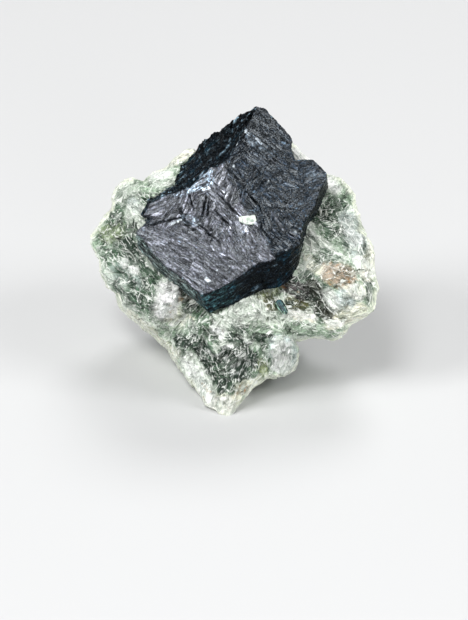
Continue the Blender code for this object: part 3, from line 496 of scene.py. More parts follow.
def blade_noise(points: Array, along: Array, width: float, stretch: float, seed: int) -> tuple[Array, Array]:
    """Long blades: broken plates read at squeezed places, so that each runs along its direction.

    Args:
        points: places, three along the last axis.
        along: unit direction at each place.
        width: about the width of a blade.
        stretch: how many times longer than wide it is.
        seed: picks other blades.

    Returns:
        A height from -1 to 1 for each place, and a number from 0 to 1 that is the same all over a blade.
    """
    offset, owner = nearest_cells(squeezed(points, along, stretch), width, seed)
    tilt = np.stack([lattice(owner, seed + 3 + axis) for axis in range(3)], axis=-1) - 0.5
    height = lattice(owner, seed + 6) - 0.5 + (offset * tilt).sum(axis=-1) / width * 1.8
    return np.clip(height * 1.4, -1.0, 1.0), lattice(owner, seed + 7)


def weighted_height(right: Array, up: Array, spots: tuple[tuple[float, ...], ...]) -> Array:
    """The near value at each place: the spots' values, each weighted by one over its distance cubed.

    Args:
        right: places across.
        up: places up.
        spots: right, up and near of each spot.

    Returns:
        One near value for each place.
    """
    table = np.array(spots)
    apart = (right[..., None] - table[:, 0]) ** 2 + (up[..., None] - table[:, 1]) ** 2
    weight = 1.0 / (apart + 0.8) ** 1.5
    return (weight * table[:, 2]).sum(axis=-1) / weight.sum(axis=-1)


def along_outline(share: Array, outline: tuple[tuple[float, ...], ...]) -> Array:
    """Points at these shares of the closed outline's length, by straight runs between its points.

    Args:
        share: from 0 to 1.
        outline: the outline's points, whose first two values are right and up.

    Returns:
        One point for each share.
    """
    closed = np.array(outline + outline[:1])
    lengths = np.hypot(*np.diff(closed[:, :2], axis=0).T)
    at = np.concatenate([[0.0], np.cumsum(lengths)]) / lengths.sum()
    return np.stack([np.interp(share, at, closed[:, axis]) for axis in range(closed.shape[1])], axis=-1)


def zone_mask(right: Array, up: Array, zone: tuple) -> Array:
    """How strongly one zone marks each place: 1 inside a band about its line and a short fall at its border.

    Args:
        right: places across.
        up: places up.
        zone: right and up of the line's two ends, the band's radius and its strength.

    Returns:
        One share for each place.
    """
    start_right, start_up, end_right, end_up, radius, strength = zone[:6]
    run = np.array([end_right - start_right, end_up - start_up])
    along = ((right - start_right) * run[0] + (up - start_up) * run[1]) / (run @ run + 1e-9)
    along = np.clip(along, 0.0, 1.0)
    apart = np.hypot(right - start_right - along * run[0], up - start_up - along * run[1]) / radius
    return strength * smooth_step(1.3 - apart, 0.0, 0.45)


def zones_mask(right: Array, up: Array, zones: tuple) -> Array:
    """The largest mark of several zones at each place.

    Args:
        right: places across.
        up: places up.
        zones: each zone as zone_mask takes it.

    Returns:
        One share for each place.
    """
    return np.max([zone_mask(right, up, zone) for zone in zones], axis=0)


def patch_directions(right: Array, up: Array, patches: tuple, fray: float, seed: int) -> Array:
    """The direction of the nearest patch at each place, with frayed borders, in the view plane.

    Args:
        right: places across.
        up: places up.
        patches: right, up and turn in degrees of each patch.
        fray: how far noise moves the borders, in millimetres.
        seed: picks the noise.

    Returns:
        One unit direction for each place.
    """
    flat = np.stack([right, up, np.zeros(right.shape)], axis=-1)
    move = [fray * layered_noise(flat, 1.6, seed + axis, 3) for axis in range(2)]
    table = np.array(patches)
    apart = (right + move[0])[..., None] - table[:, 0]
    rise = (up + move[1])[..., None] - table[:, 1]
    turn = np.radians(table[np.argmin(apart**2 + rise**2, axis=-1), 2])
    return np.stack([np.cos(turn), np.sin(turn), np.zeros(turn.shape)], axis=-1)


def smooth_step(value: Array, low: float, high: float) -> Array:
    """0 below low, 1 above high, and a smooth rise between.

    Args:
        value: what is compared.
        low: where the rise starts.
        high: where it ends.

    Returns:
        One share for each value.
    """
    share = np.clip((value - low) / (high - low), 0.0, 1.0)
    return share * share * (3.0 - 2.0 * share)


def blend_colour(base: Array, colour: Colour, share: Array) -> Array:
    """The base colours, moved towards one colour by a share.

    Args:
        base: colours, three along the last axis.
        colour: the colour to move towards.
        share: from 0 to 1 for each.

    Returns:
        The new colours.
    """
    return base + (np.array(colour) - base) * np.clip(share, 0.0, 1.0)[..., None]


def grid_normals(points: Array) -> Array:
    """Outward unit normals of a wrapped grid: the cross product of its steps along columns and rows.

    Args:
        points: rows by columns by three.

    Returns:
        Normals of the same shape.
    """
    across = np.roll(points, -1, axis=1) - np.roll(points, 1, axis=1)
    down = np.gradient(points, axis=0)
    normal = np.cross(across, down)
    return normal / (np.linalg.norm(normal, axis=-1, keepdims=True) + 1e-12)


def grid_faces(rows: int, columns: int) -> list[tuple[int, ...]]:
    """Faces of a grid that wraps round its columns and is closed by a pole at each end.

    Args:
        rows: rows between the poles.
        columns: columns round.

    Returns:
        Vertex numbers of each face, where the poles are the last two vertices.
    """
    index = np.arange(rows * columns).reshape(rows, columns)
    after = np.roll(index, -1, axis=1)
    quads = np.stack([index[:-1], after[:-1], after[1:], index[1:]], axis=-1).reshape(-1, 4)
    first = np.full(columns, rows * columns)
    front = np.stack([first, after[0], index[0]], axis=-1)
    back = np.stack([first + 1, index[-1], after[-1]], axis=-1)
    return quads.tolist() + front.tolist() + back.tolist()


def make_piece(
    name: str, places: Array, faces: list, tint: Array, grain: Array, smooth: bool
) -> bpy.types.Object:
    """Makes a mesh object at the origin from world places, with a colour and a direction at each vertex.

    Args:
        name: the piece's name.
        places: x, y and z of each vertex in metres.
        faces: vertex numbers of each face.
        tint: red, green and blue of each vertex.
        grain: the direction of the fibres at each vertex.
        smooth: whether its faces are shaded smooth.

    Returns:
        The new object, linked to the scene.
    """
    mesh = bpy.data.meshes.new(name)
    mesh.from_pydata(places.tolist(), [], faces)
    for key, values in (("tint", tint), ("grain", grain)):
        colours = np.column_stack([values, np.ones(len(values))]).astype(np.float32)
        layer = mesh.color_attributes.new(key, "FLOAT_COLOR", "POINT")
        layer.data.foreach_set("color", colours.ravel())
    mesh.polygons.foreach_set("use_smooth", np.full(len(mesh.polygons), smooth))
    mesh.update()
    piece = bpy.data.objects.new(name, mesh)
    bpy.context.scene.collection.objects.link(piece)
    return piece


def with_poles(values: Array) -> Array:
    """A grid's values in a list, followed by the mean of its first row and of its last."""
    return np.concatenate([values.reshape(-1, 3), values[:1].mean(axis=1), values[-1:].mean(axis=1)])


@dataclass
class NodeSheet:
    """A material's nodes, with short ways to add and join them."""

    name: str
    material: bpy.types.Material = field(init=False)

    def __post_init__(self) -> None:
        """Makes the material with a Principled shader."""
        self.material = bpy.data.materials.new(self.name)
        self.material.use_nodes = True

    @property
    def shader(self) -> bpy.types.Node:
        """The material's Principled shader."""
        return self.material.node_tree.nodes["Principled BSDF"]

    def add(self, kind: str, **settings: object) -> bpy.types.Node:
        """Adds a node.

        Args:
            kind: the node's type.
            settings: its properties.

        Returns:
            The node.
        """
        node = self.material.node_tree.nodes.new(kind)
        for key, value in settings.items():
            setattr(node, key, value)
        return node

    def join(self, source: Socket, target: Socket) -> None:
        """Links two sockets."""
        self.material.node_tree.links.new(source, target)

    def place(self) -> Socket:
        """The object's own coordinates."""
        return self.add("ShaderNodeTexCoord").outputs["Object"]

    def noise(self, vector: Socket, scale: float, detail: float, rough: float) -> Socket:
        """Soft noise at a place.

        Args:
            vector: where it is read.
            scale: lattice points a metre.
            detail: how many layers.
            rough: how strong the fine layers are.

        Returns:
            The noise's value, about 0.3 to 0.7.
        """
        node = self.add("ShaderNodeTexNoise")
        node.inputs["Scale"].default_value = scale
        node.inputs["Detail"].default_value = detail
        node.inputs["Roughness"].default_value = rough
        self.join(vector, node.inputs["Vector"])
        return node.outputs["Fac"]

    def fibres(self, squeeze: float) -> Socket:
        """Object coordinates squeezed along the surface's stored grain, for fibrous noise.

        Args:
            squeeze: the share taken off a place's part along the grain.

        Returns:
            The squeezed coordinates.
        """
        place = self.place()
        along = self.add("ShaderNodeAttribute", attribute_name="grain").outputs["Vector"]
        part = self.add("ShaderNodeVectorMath", operation="DOT_PRODUCT")
        self.join(place, part.inputs[0])
        self.join(along, part.inputs[1])
        share = self.add("ShaderNodeMath", operation="MULTIPLY")
        share.inputs[1].default_value = squeeze
        self.join(part.outputs["Value"], share.inputs[0])
        taken = self.add("ShaderNodeVectorMath", operation="SCALE")
        self.join(along, taken.inputs[0])
        self.join(share.outputs["Value"], taken.inputs["Scale"])
        left = self.add("ShaderNodeVectorMath", operation="SUBTRACT")
        self.join(place, left.inputs[0])
        self.join(taken.outputs["Vector"], left.inputs[1])
        return left.outputs["Vector"]

    def ramp(self, value: Socket, stops: Stops) -> Socket:
        """A colour for a value, blended between stops.

        Args:
            value: what is read.
            stops: position and colour of each stop.

        Returns:
            The colour.
        """
        node = self.add("ShaderNodeValToRGB")
        elements = node.color_ramp.elements
        elements[0].position, elements[0].color = stops[0][0], (*stops[0][1], 1.0)
        elements[1].position, elements[1].color = stops[-1][0], (*stops[-1][1], 1.0)
        for position, colour in stops[1:-1]:
            element = elements.new(position)
            element.color = (*colour, 1.0)
        self.join(value, node.inputs["Fac"])
        return node.outputs["Color"]

    def remap(self, value: Socket, low: float, high: float, start: float, end: float) -> Socket:
        """A value between low and high, moved to between start and end and held there.

        Args:
            value: what is moved.
            low: the value that becomes the start.
            high: the value that becomes the end.
            start: the result at low.
            end: the result at high.

        Returns:
            The moved value.
        """
        node = self.add("ShaderNodeMapRange")
        limits = {"From Min": low, "From Max": high, "To Min": start, "To Max": end}
        for key, number in limits.items():
            node.inputs[key].default_value = number
        self.join(value, node.inputs["Value"])
        return node.outputs["Result"]

    def mix(self, blend: str, share: Socket | float, first: Socket, second: Socket | Colour) -> Socket:
        """Two colours mixed by a share.

        Args:
            blend: the kind of mix.
            share: how much of the second.
            first: the first colour.
            second: the second colour.

        Returns:
            The mixed colour.
        """
        node = self.add("ShaderNodeMix", data_type="RGBA", blend_type=blend)
        if isinstance(share, float):
            node.inputs["Factor"].default_value = share
        else:
            self.join(share, node.inputs["Factor"])
        self.join(first, node.inputs[6])
        if isinstance(second, tuple):
            node.inputs[7].default_value = (*second, 1.0)
        else:
            self.join(second, node.inputs[7])
        return node.outputs[2]

    def ridge(self, value: Socket, middle: float, half: float, top: float) -> Socket:
        """Thin lines where a noise passes one value: the top on it, falling to 0 on either side.

        Args:
            value: the noise.
            middle: the value that the lines follow.
            half: how far from it a line ends.
            top: the value on a line.

        Returns:
            A value from 0 to the top.
        """
        less = self.add("ShaderNodeMath", operation="SUBTRACT")
        less.inputs[1].default_value = middle
        self.join(value, less.inputs[0])
        apart = self.add("ShaderNodeMath", operation="ABSOLUTE")
        self.join(less.outputs["Value"], apart.inputs[0])
        return self.remap(apart.outputs["Value"], 0.0, half, top, 0.0)

    def product(self, first: Socket, second: Socket) -> Socket:
        """Two values multiplied.

        Args:
            first: the first value.
            second: the second value.

        Returns:
            Their product.
        """
        node = self.add("ShaderNodeMath", operation="MULTIPLY")
        self.join(first, node.inputs[0])
        self.join(second, node.inputs[1])
        return node.outputs["Value"]

    def plates(self, vector: Socket, scale: float, feature: str) -> bpy.types.Node:
        """Straight-edged broken plates.

        Args:
            vector: where they are read.
            scale: plates a metre.
            feature: F1 for a colour of its own on each plate, DISTANCE_TO_EDGE for the way to its edge.

        Returns:
            The plates' node.
        """
        node = self.add("ShaderNodeTexVoronoi", feature=feature)
        node.inputs["Scale"].default_value = scale
        self.join(vector, node.inputs["Vector"])
        return node

    def facets(self, colour: Socket, tilt: float) -> Socket:
        """The surface's normal, tilted on each plate by the plate's own colour less a half, times the tilt.

        Args:
            colour: a colour of its own on each plate.
            tilt: how far a plate may lean.

        Returns:
            The new normal.
        """
        less = self.add("ShaderNodeVectorMath", operation="SUBTRACT")
        less.inputs[1].default_value = (0.5, 0.5, 0.5)
        self.join(colour, less.inputs[0])
        lean = self.add("ShaderNodeVectorMath", operation="SCALE")
        lean.inputs["Scale"].default_value = tilt
        self.join(less.outputs["Vector"], lean.inputs[0])
        total = self.add("ShaderNodeVectorMath", operation="ADD")
        self.join(self.add("ShaderNodeNewGeometry").outputs["Normal"], total.inputs[0])
        self.join(lean.outputs["Vector"], total.inputs[1])
        unit = self.add("ShaderNodeVectorMath", operation="NORMALIZE")
        self.join(total.outputs["Vector"], unit.inputs[0])
        return unit.outputs["Vector"]

    def tint(self) -> Socket:
        """The colour stored at the surface's vertices."""
        return self.add("ShaderNodeAttribute", attribute_name="tint").outputs["Color"]

    def bump(self, height: Socket, depth: float, strength: float, under: Socket | None = None) -> Socket:
        """A normal roughened by a height.

        Args:
            height: from 0 to 1.
            depth: how deep a height of 1 is, in metres.
            strength: how much of it is used.
            under: a normal to add it to.

        Returns:
            The new normal.
        """
        node = self.add("ShaderNodeBump")
        node.inputs["Strength"].default_value = strength
        node.inputs["Distance"].default_value = depth
        self.join(height, node.inputs["Height"])
        if under is not None:
            self.join(under, node.inputs["Normal"])
        return node.outputs["Normal"]


@dataclass(frozen=True)
class MicaFinish:
    """Flaky mica: the surface's own tint, streaked along its grain and broken into plates with pale edges."""

    name: str
    roughness: float = 0.4
    streak: float = 0.5
    edge: float = 0.9
    crack: float = 0.95
    plate: float = 0.65
    lean: float = 0.5
    bump_depth: float = 0.00018
    glow: float = 0.1
    glow_depth: float = 0.00025
    glow_radius: Colour = (0.9, 1.0, 0.9)
    streaks: Stops = ((0.35, (0.2, 0.28, 0.22)), (0.46, (0.9, 0.92, 0.9)), (0.63, (1.45, 1.45, 1.45)))
    grains: Stops = ((0.35, (0.32, 0.4, 0.32)), (0.46, (0.95, 0.96, 0.95)), (0.65, (1.3, 1.3, 1.3)))
    tones: Stops = ((0.2, (0.5, 0.56, 0.51)), (0.5, (0.95, 0.97, 0.95)), (0.8, (1.25, 1.25, 1.25)))
    crack_colour: Colour = (0.035, 0.06, 0.04)
    edge_colour: Colour = (0.9, 0.93, 0.88)
    fine_scale: float = 4200.0
    grain_scale: float = 2900.0
    plate_scale: float = 1050.0
    edge_scale: float = 1300.0
    crack_scale: float = 1500.0

    def material(self) -> bpy.types.Material:
        """Builds the material's nodes.

        Returns:
            The material.
        """
        sheet = NodeSheet(self.name)
        fine = sheet.noise(sheet.fibres(0.85), self.fine_scale, 3.0, 0.6)
        grain = sheet.noise(sheet.place(), self.grain_scale, 3.0, 0.65)
        light = sheet.add("ShaderNodeRGBToBW")
        sheet.join(sheet.tint(), light.inputs["Color"])
        gloom = sheet.remap(light.outputs["Val"], 0.1, 0.62, 0.5, 0.2)
        place = sheet.fibres(0.62)
        plate = sheet.plates(place, self.plate_scale, "F1").outputs["Color"]
        seam = sheet.plates(place, self.plate_scale, "DISTANCE_TO_EDGE").outputs["Distance"]
        colour = sheet.mix("MULTIPLY", self.streak, sheet.tint(), sheet.ramp(fine, self.streaks))
        colour = sheet.mix("MULTIPLY", gloom, colour, sheet.ramp(grain, self.grains))
        colour = sheet.mix("MULTIPLY", self.plate, colour, sheet.ramp(plate, self.tones))
        edge = sheet.noise(sheet.fibres(0.7), self.edge_scale, 2.0, 0.55)
        crack = sheet.noise(sheet.fibres(0.65), self.crack_scale, 3.0, 0.6)
        cracks = sheet.product(gloom, sheet.ridge(crack, 0.56, 0.032, self.crack))
        colour = sheet.mix("MIX", cracks, colour, self.crack_colour)
        colour = sheet.mix("MIX", sheet.ridge(edge, 0.5, 0.016, self.edge * 0.8), colour, self.edge_colour)
        shown = sheet.remap(crack, 0.45, 0.52, 0.0, self.edge)
        lines = sheet.product(shown, sheet.remap(seam, 0.02, 0.07, 1.0, 0.0))
        colour = sheet.mix("MIX", lines, colour, self.edge_colour)
        sheet.join(colour, sheet.shader.inputs["Base Color"])
        normal = sheet.bump(fine, self.bump_depth, 0.7, sheet.facets(plate, self.lean))
        sheet.join(normal, sheet.shader.inputs["Normal"])
        rough = sheet.remap(fine, 0.35, 0.65, self.roughness + 0.15, self.roughness - 0.15)
        sheet.join(rough, sheet.shader.inputs["Roughness"])
        sheet.shader.inputs["Subsurface Weight"].default_value = self.glow
        sheet.shader.inputs["Subsurface Scale"].default_value = self.glow_depth
        sheet.shader.inputs["Subsurface Radius"].default_value = self.glow_radius
        return sheet.material


@dataclass(frozen=True)
class TourmalineFinish:
    """Glossy dark crystal: the surface's own tint with fine growth lines, long leaning plates and dust."""

    name: str
    roughness: float = 0.13
    line_depth: float = 0.0001
    specular: float = 0.42
    dust: float = 0.25
    lean: float = 0.3
    gleam: Colour = (0.86, 0.94, 1.0)
    bending: float = 1.63
    tones: Stops = ((0.25, (0.45, 0.45, 0.46)), (0.5, (0.95, 0.95, 0.95)), (0.75, (1.8, 1.8, 1.85)))
    light: Stops = ((0.38, (0.15, 0.15, 0.16)), (0.52, (1.0, 1.0, 1.0)), (0.64, (3.1, 3.1, 3.2)))
    specks: Stops = ((0.38, (0.15, 0.15, 0.16)), (0.5, (1.0, 1.0, 1.0)), (0.62, (2.6, 2.7, 2.9)))
    dust_colour: Colour = (0.22, 0.28, 0.34)
    line_scale: float = 4200.0
    hair_scale: float = 7000.0
    grain_scale: float = 3600.0
    plate_scale: float = 1900.0

    def material(self) -> bpy.types.Material:
        """Builds the material's nodes.

        Returns:
            The material.
        """
        sheet = NodeSheet(self.name)
        lines = sheet.noise(sheet.fibres(0.78), self.line_scale, 3.0, 0.6)
        hairs = sheet.noise(sheet.fibres(0.92), self.hair_scale, 2.0, 0.5)
        grain = sheet.noise(sheet.place(), self.grain_scale, 2.0, 0.6)
        plate = sheet.plates(sheet.fibres(0.82), self.plate_scale, "F1").outputs["Color"]
        colour = sheet.mix("MULTIPLY", 0.8, sheet.tint(), sheet.ramp(lines, self.light))
        colour = sheet.mix("MULTIPLY", 0.4, colour, sheet.ramp(grain, self.specks))
        colour = sheet.mix("MULTIPLY", 0.8, colour, sheet.ramp(plate, self.tones))
        colour = sheet.mix("MIX", sheet.remap(grain, 0.6, 0.68, 0.0, self.dust), colour, self.dust_colour)
        sheet.join(colour, sheet.shader.inputs["Base Color"])
        normal = sheet.bump(lines, self.line_depth, 0.7, sheet.facets(plate, self.lean))
        normal = sheet.bump(hairs, self.line_depth * 0.4, 0.6, normal)
        normal = sheet.bump(grain, self.line_depth, 0.4, normal)
        sheet.join(normal, sheet.shader.inputs["Normal"])
        rough = sheet.remap(grain, 0.35, 0.65, self.roughness, self.roughness + 0.14)
        sheet.join(rough, sheet.shader.inputs["Roughness"])
        sheet.shader.inputs["Specular Tint"].default_value = (*self.gleam, 1.0)
        sheet.shader.inputs["IOR"].default_value = self.bending
        sheet.shader.inputs["Specular IOR Level"].default_value = self.specular
        return sheet.material


@dataclass
class MatrixRock:
    """The mica rock: its surface, and the leaves of mica that stand out of it."""

    lump: tuple[float, float] = (0.6, 6.0)
    plate: tuple[float, float] = (0.8, 4.2)
    grain: tuple[float, float] = (0.3, 1.9)
    rim_rounding: float = 8.0
    back_rounding: float = 2.8
    soft_edge: float = 0.6
    hidden_rows: int = 6
    crystal_reach: float = 0.34
    plate_relief: float = 0.16
    broad_relief: float = 0.17
    thin_relief: float = 0.09
    grit_relief: float = 0.03
    brightest: float = 0.86
    white_point: float = 0.84
    deepening: float = 1.4
    points: Array = field(init=False)
    normals: Array = field(init=False)
    along: Array = field(init=False)
    tint: Array = field(init=False)

    def rows(self, count: int) -> tuple[Array, Array]:
        """Spreads the rows: few under the crystal, most over the visible front, and the rest behind.

        Args:
            count: how many rows.

        Returns:
            Each row's reach from the centre, 0 to 1, and whether it is on the front.
        """
        visible = int(count * 0.56)
        behind = count - visible - self.hidden_rows
        hidden = np.linspace(0.04, self.crystal_reach, self.hidden_rows, endpoint=False)
        share = np.linspace(0.0, 1.0, visible)
        front = self.crystal_reach + (1.0 - self.crystal_reach) * (1.0 - (1.0 - share) ** 1.35)
        share = np.linspace(0.0, 1.0, behind + 1)[1:]
        back = 1.0 - 0.97 * share**1.4
        reach = np.concatenate([hidden, front, back])
        is_front = np.arange(count) < self.hidden_rows + visible
        return reach, is_front

    def coarse(self, turn: Array, reach: Array, is_front: Array) -> Array:
        """The rock's main form, as the solid has it.

        Each half moves in from the outline to the centre. The front takes its heights from ROCK_FRONT
        and the back from ROCK_BACK, both drawn to the outline at the rim. Lumps and broken plates push
        it out.

        Args:
            turn: share of the outline's length at each grid point.
            reach: distance from the centre, 1 on the outline.
            is_front: whether the point is on the front half.

        Returns:
            right, up and near of each point.
        """
        rim = along_outline(turn, ROCK_OUTLINE)
        centre = np.array(ROCK_CENTRE)
        flat = centre + (rim[..., :2] - centre) * reach[..., None]
        front_share = (1.0 - reach**self.rim_rounding) ** self.soft_edge
        back_share = (1.0 - reach**self.back_rounding) ** self.soft_edge
        front = weighted_height(flat[..., 0], flat[..., 1], ROCK_FRONT)
        back = weighted_height(flat[..., 0], flat[..., 1], ROCK_BACK)
        share = np.where(is_front, front_share, back_share)
        near = rim[..., 2] * (1.0 - share) + np.where(is_front, front, back) * share
        points = np.stack([flat[..., 0], flat[..., 1], near], axis=-1)
        push = self.lump[0] * smooth_noise(points, self.lump[1], 11)
        push += self.plate[0] * plate_noise(points, self.plate[1], 23)
        push += self.grain[0] * plate_noise(points, self.grain[1], 37)
        push *= 1.0 - 0.7 * smooth_step(reach, 0.84, 1.0)
        outward = np.stack([flat[..., 0] - centre[0], flat[..., 1] - centre[1], (near + 6.0) * 1.4], axis=-1)
        outward /= np.linalg.norm(outward, axis=-1, keepdims=True)
        return points + outward * push[..., None]

    def relief(self, points: Array, reach: Array, is_front: Array) -> tuple[Array, Array, Array]:
        """The flaky relief: small plates, blades that run along each book's direction, and grit.

        It fades to a third at the outline, where the rock's edge is smooth.

        Args:
            points: places on the coarse form.
            reach: distance from the centre, 1 on the outline.
            is_front: whether the place is on the front half.

        Returns:
            At each place a height in millimetres, a blade's own number from 0 to 1 and the fibres'
            direction.
        """
        warp = np.stack([layered_noise(points, 1.8, 61 + axis, 2) for axis in range(3)], axis=-1)
        warped = points + 0.45 * warp
        behind = book_directions(points + 0.9 * warp, 3.4, 113)
        before = patch_directions(points[..., 0], points[..., 1], FIBRE_PATCHES, 1.1, 107)
        before[..., 2] = 0.35 * (lattice(np.floor(before * 97.0), 109) - 0.5)
        along = np.where(is_front[..., None], before, behind)
        broad, broad_shade = blade_noise(warped, along, 0.9, 3.2, 127)
        thin, thin_shade = blade_noise(warped, along, 0.4, 5.0, 139)
        height = self.plate_relief * plate_noise(warped, 1.7, 83)
        height += self.broad_relief * broad
        height += self.thin_relief * thin
        height += self.grit_relief * layered_noise(points, 0.4, 131, 2)
        height *= 1.0 - 0.65 * smooth_step(reach, 0.95, 1.0)
        return height, 0.65 * broad_shade + 0.35 * thin_shade, along

    def colours(self, points: Array, height: Array, shade: Array, reach: Array, is_front: Array) -> Array:
        """The rock's colour: zones, white shards, dark gaps among the blades, painted shade in hollows, a
        painted rim light, tufts and rust.

        Args:
            points: places on the surface.
            height: the relief at each place.
            shade: the number of the blade at each place.
            reach: distance from the centre, 1 on the outline.
            is_front: whether the place is on the front half.

        Returns:
            Red, green and blue of each place.
        """
        warp = np.stack([layered_noise(points, 1.1, 151 + axis, 4) for axis in range(3)], axis=-1)
        right, up = points[..., 0] + 0.55 * warp[..., 0], points[..., 1] + 0.55 * warp[..., 1]
        broad = layered_noise(points, 3.0, 171, 4)
        fine = layered_noise(points, 0.8, 181, 3)
        front = np.where(is_front, 1.0, 0.3)
        tint = np.broadcast_to(np.array(Shade.PALE.value), points.shape).copy()
        tint = blend_colour(tint, Shade.GREEN.value, smooth_step(broad + 0.3 * fine, 0.1, 0.55) * 0.8)
        tint = blend_colour(tint, Shade.WHITE.value, smooth_step(-broad + 0.3 * fine, 0.0, 0.4) * 0.8)
        for zone in ROCK_ZONES:
            tint = blend_colour(tint, zone[6].value, front * zone_mask(right, up, zone))
        tint = tint * (0.62 + 0.66 * shade[..., None])
        depth = smooth_step(0.55 - tint.mean(axis=-1), 0.0, 0.45)
        gaps = smooth_step(0.3 + 0.2 * fine - shade, 0.0, 0.14)
        tint = blend_colour(tint, Shade.DARK_GREEN_AND_SHADE.value, gaps * (0.12 + 0.75 * depth))
        shards = smooth_step(shade + 0.1 * fine, 0.72, 0.82)
        tint = blend_colour(tint, Shade.WHITE.value, shards * (0.85 - 0.5 * depth))
        # Painted shade: the relief's hollows are darkened, and its raised parts made paler.
        tint = blend_colour(tint, Shade.DARK_GREEN_AND_SHADE.value, smooth_step(-height, 0.1, 0.28) * (0.35 + 0.45 * depth))
        tint = blend_colour(tint, Shade.WHITE.value, smooth_step(height, 0.13, 0.3) * (0.4 - 0.3 * depth))
        # Painted rim light: a pale band round the rock's outline.
        rim = smooth_step(reach + 0.016 * fine, 0.958, 0.99)
        tint = blend_colour(tint, Shade.RIM_LIGHT.value, rim * 0.85)
        tint = self.brightest * (tint / self.white_point) ** self.deepening
        tint = blend_colour(tint, Shade.TUFT.value, front * zones_mask(right, up, WHITE_TUFTS))
        speckled = smooth_step(layered_noise(points, 0.35, 191, 2), -0.15, 0.4)
        rusty = front * zones_mask(right, up, RUST_MARKS) * speckled * 0.85
        return blend_colour(tint, Shade.RUST.value, rusty)

    def build(self) -> bpy.types.Object:
        """Builds the rock's surface.

        Returns:
            The rock.
        """
        columns, count = Fineness.ROCK.value
        reach, is_front = self.rows(count)
        turn = np.broadcast_to(np.arange(columns) / columns, (count, columns))
        reach = np.broadcast_to(reach[:, None], turn.shape)
        is_front = np.broadcast_to(is_front[:, None], turn.shape)
        points = self.coarse(turn, reach, is_front)
        height, shade, along = self.relief(points, reach, is_front)
        points = points + grid_normals(points) * height[..., None]
        self.points, self.normals, self.along = points, grid_normals(points), along
        self.tint = self.colours(points, height, shade, reach, is_front)
        places = to_world(with_poles(points))
        places[:, 2] = np.maximum(places[:, 2], 0.0)
        faces = grid_faces(count, columns)
        grain = turned(with_poles(along))
        rock = make_piece("mica_rock", places, faces, with_poles(self.tint), grain, smooth=False)
        rock.data.materials.append(MicaFinish("flaky_green_mica").material())
        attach(rock, BODY)
        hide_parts("matrix")
        return rock


@dataclass
class MicaBlades:
    """Books of thin mica blades that stand out of the rock along its grain."""

    rock: MatrixRock
    books: int = 1300
    leaves: int = 3
    sides: int = 6
    smallest: float = 0.18
    largest: float = 1.1
    slimness: float = 0.3
    thickness: float = 0.045
    spacing: float = 0.07
    splay: float = 0.3
    wander: float = 0.45
    small_share: float = 2.5
    paler: tuple[float, float] = (0.05, 0.45)
    first_row: int = 10
    last_row: float = 0.46
    seed: int = 5

    def build(self) -> bpy.types.Object:
        """Builds all blades as one piece: each is a flat six-sided plate with uneven corners.

        A book sits at a point of the rock's surface, on a plane that holds the fibres' direction and leans
        a little away from the surface. Its blades lie above one another, each shifted a little.

        Returns:
            The blades.
        """
        maker = np.random.default_rng(self.seed)
        rows, columns = self.rock.points.shape[:2]
        row = maker.integers(self.first_row, int(rows * self.last_row), self.books)
        column = maker.integers(0, columns, self.books)
        middle = self.rock.points[row, column]
        up = self.rock.normals[row, column] + self.splay * maker.normal(size=(self.books, 3))
        up /= np.linalg.norm(up, axis=1, keepdims=True)
        side = self.rock.along[row, column] + self.wander * maker.normal(size=(self.books, 3))
        side -= (side * up).sum(axis=1, keepdims=True) * up
        side /= np.linalg.norm(side, axis=1, keepdims=True)
        cross = np.cross(up, side)
        size = self.smallest + (self.largest - self.smallest) * maker.random(self.books) ** self.small_share
        count = self.books * self.leaves
        level = np.tile(np.arange(self.leaves) - self.leaves * 0.6, self.books)
        repeat = np.repeat(np.arange(self.books), self.leaves)
        even = np.arange(self.sides) / self.sides * 2.0 * math.pi
        angle = even + 0.2 * maker.normal(size=(count, self.sides))
        radius = size[repeat, None] * (0.6 + 0.4 * maker.random((count, self.sides)))
        flat = np.stack([radius * np.cos(angle), self.slimness * radius * np.sin(angle)], axis=-1)
        flat = flat + (0.22 * size[repeat, None] * maker.normal(size=(count, 2)))[:, None, :]
        lift = level[:, None, None] * self.spacing * (0.5 + size[repeat, None, None])
        base = middle[repeat, None, :] + flat[..., :1] * side[repeat, None, :]
        base = base + flat[..., 1:] * cross[repeat, None, :]
        base = base + lift * up[repeat, None, :]
        half = 0.5 * self.thickness * up[repeat, None, :]
        points = np.stack([base - half, base + half], axis=1).reshape(-1, 3)
        white = np.clip(self.paler[0] + self.paler[1] * maker.normal(size=self.books), 0.0, 0.95)
        leaf_tint = blend_colour(self.rock.tint[row, column], Shade.LEAF.value, white)[repeat]
        leaf_tint = leaf_tint * (0.8 + 0.3 * maker.random((count, 1)))
        tint = np.repeat(leaf_tint, 2 * self.sides, axis=0)
        grain = turned(np.repeat(side[repeat], 2 * self.sides, axis=0))
        places = to_world(points)
        places[:, 2] = np.maximum(places[:, 2], 0.00002)
        piece = make_piece("mica_blades", places, self.plate_faces(count), tint, grain, smooth=False)
        piece.data.materials.append(MicaFinish("pearly_mica_blade", roughness=0.32, streak=0.5).material())
        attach(piece, BODY)
        return piece

    def plate_faces(self, count: int) -> list[tuple[int, ...]]:
        """Faces of closed plates, each with its lower ring first and its upper ring next.

        Args:
            count: how many plates.

        Returns:
            Vertex numbers of each face.
        """
        ring = np.arange(self.sides)
        after = np.roll(ring, -1)
        walls = np.stack([ring, after, after + self.sides, ring + self.sides], axis=-1)
        start = np.arange(count)[:, None] * 2 * self.sides
        lower = (start + ring[::-1]).tolist()
        upper = (start + ring + self.sides).tolist()
        sides = (start[:, None, :] + walls).reshape(-1, 4).tolist()
        return lower + upper + sides


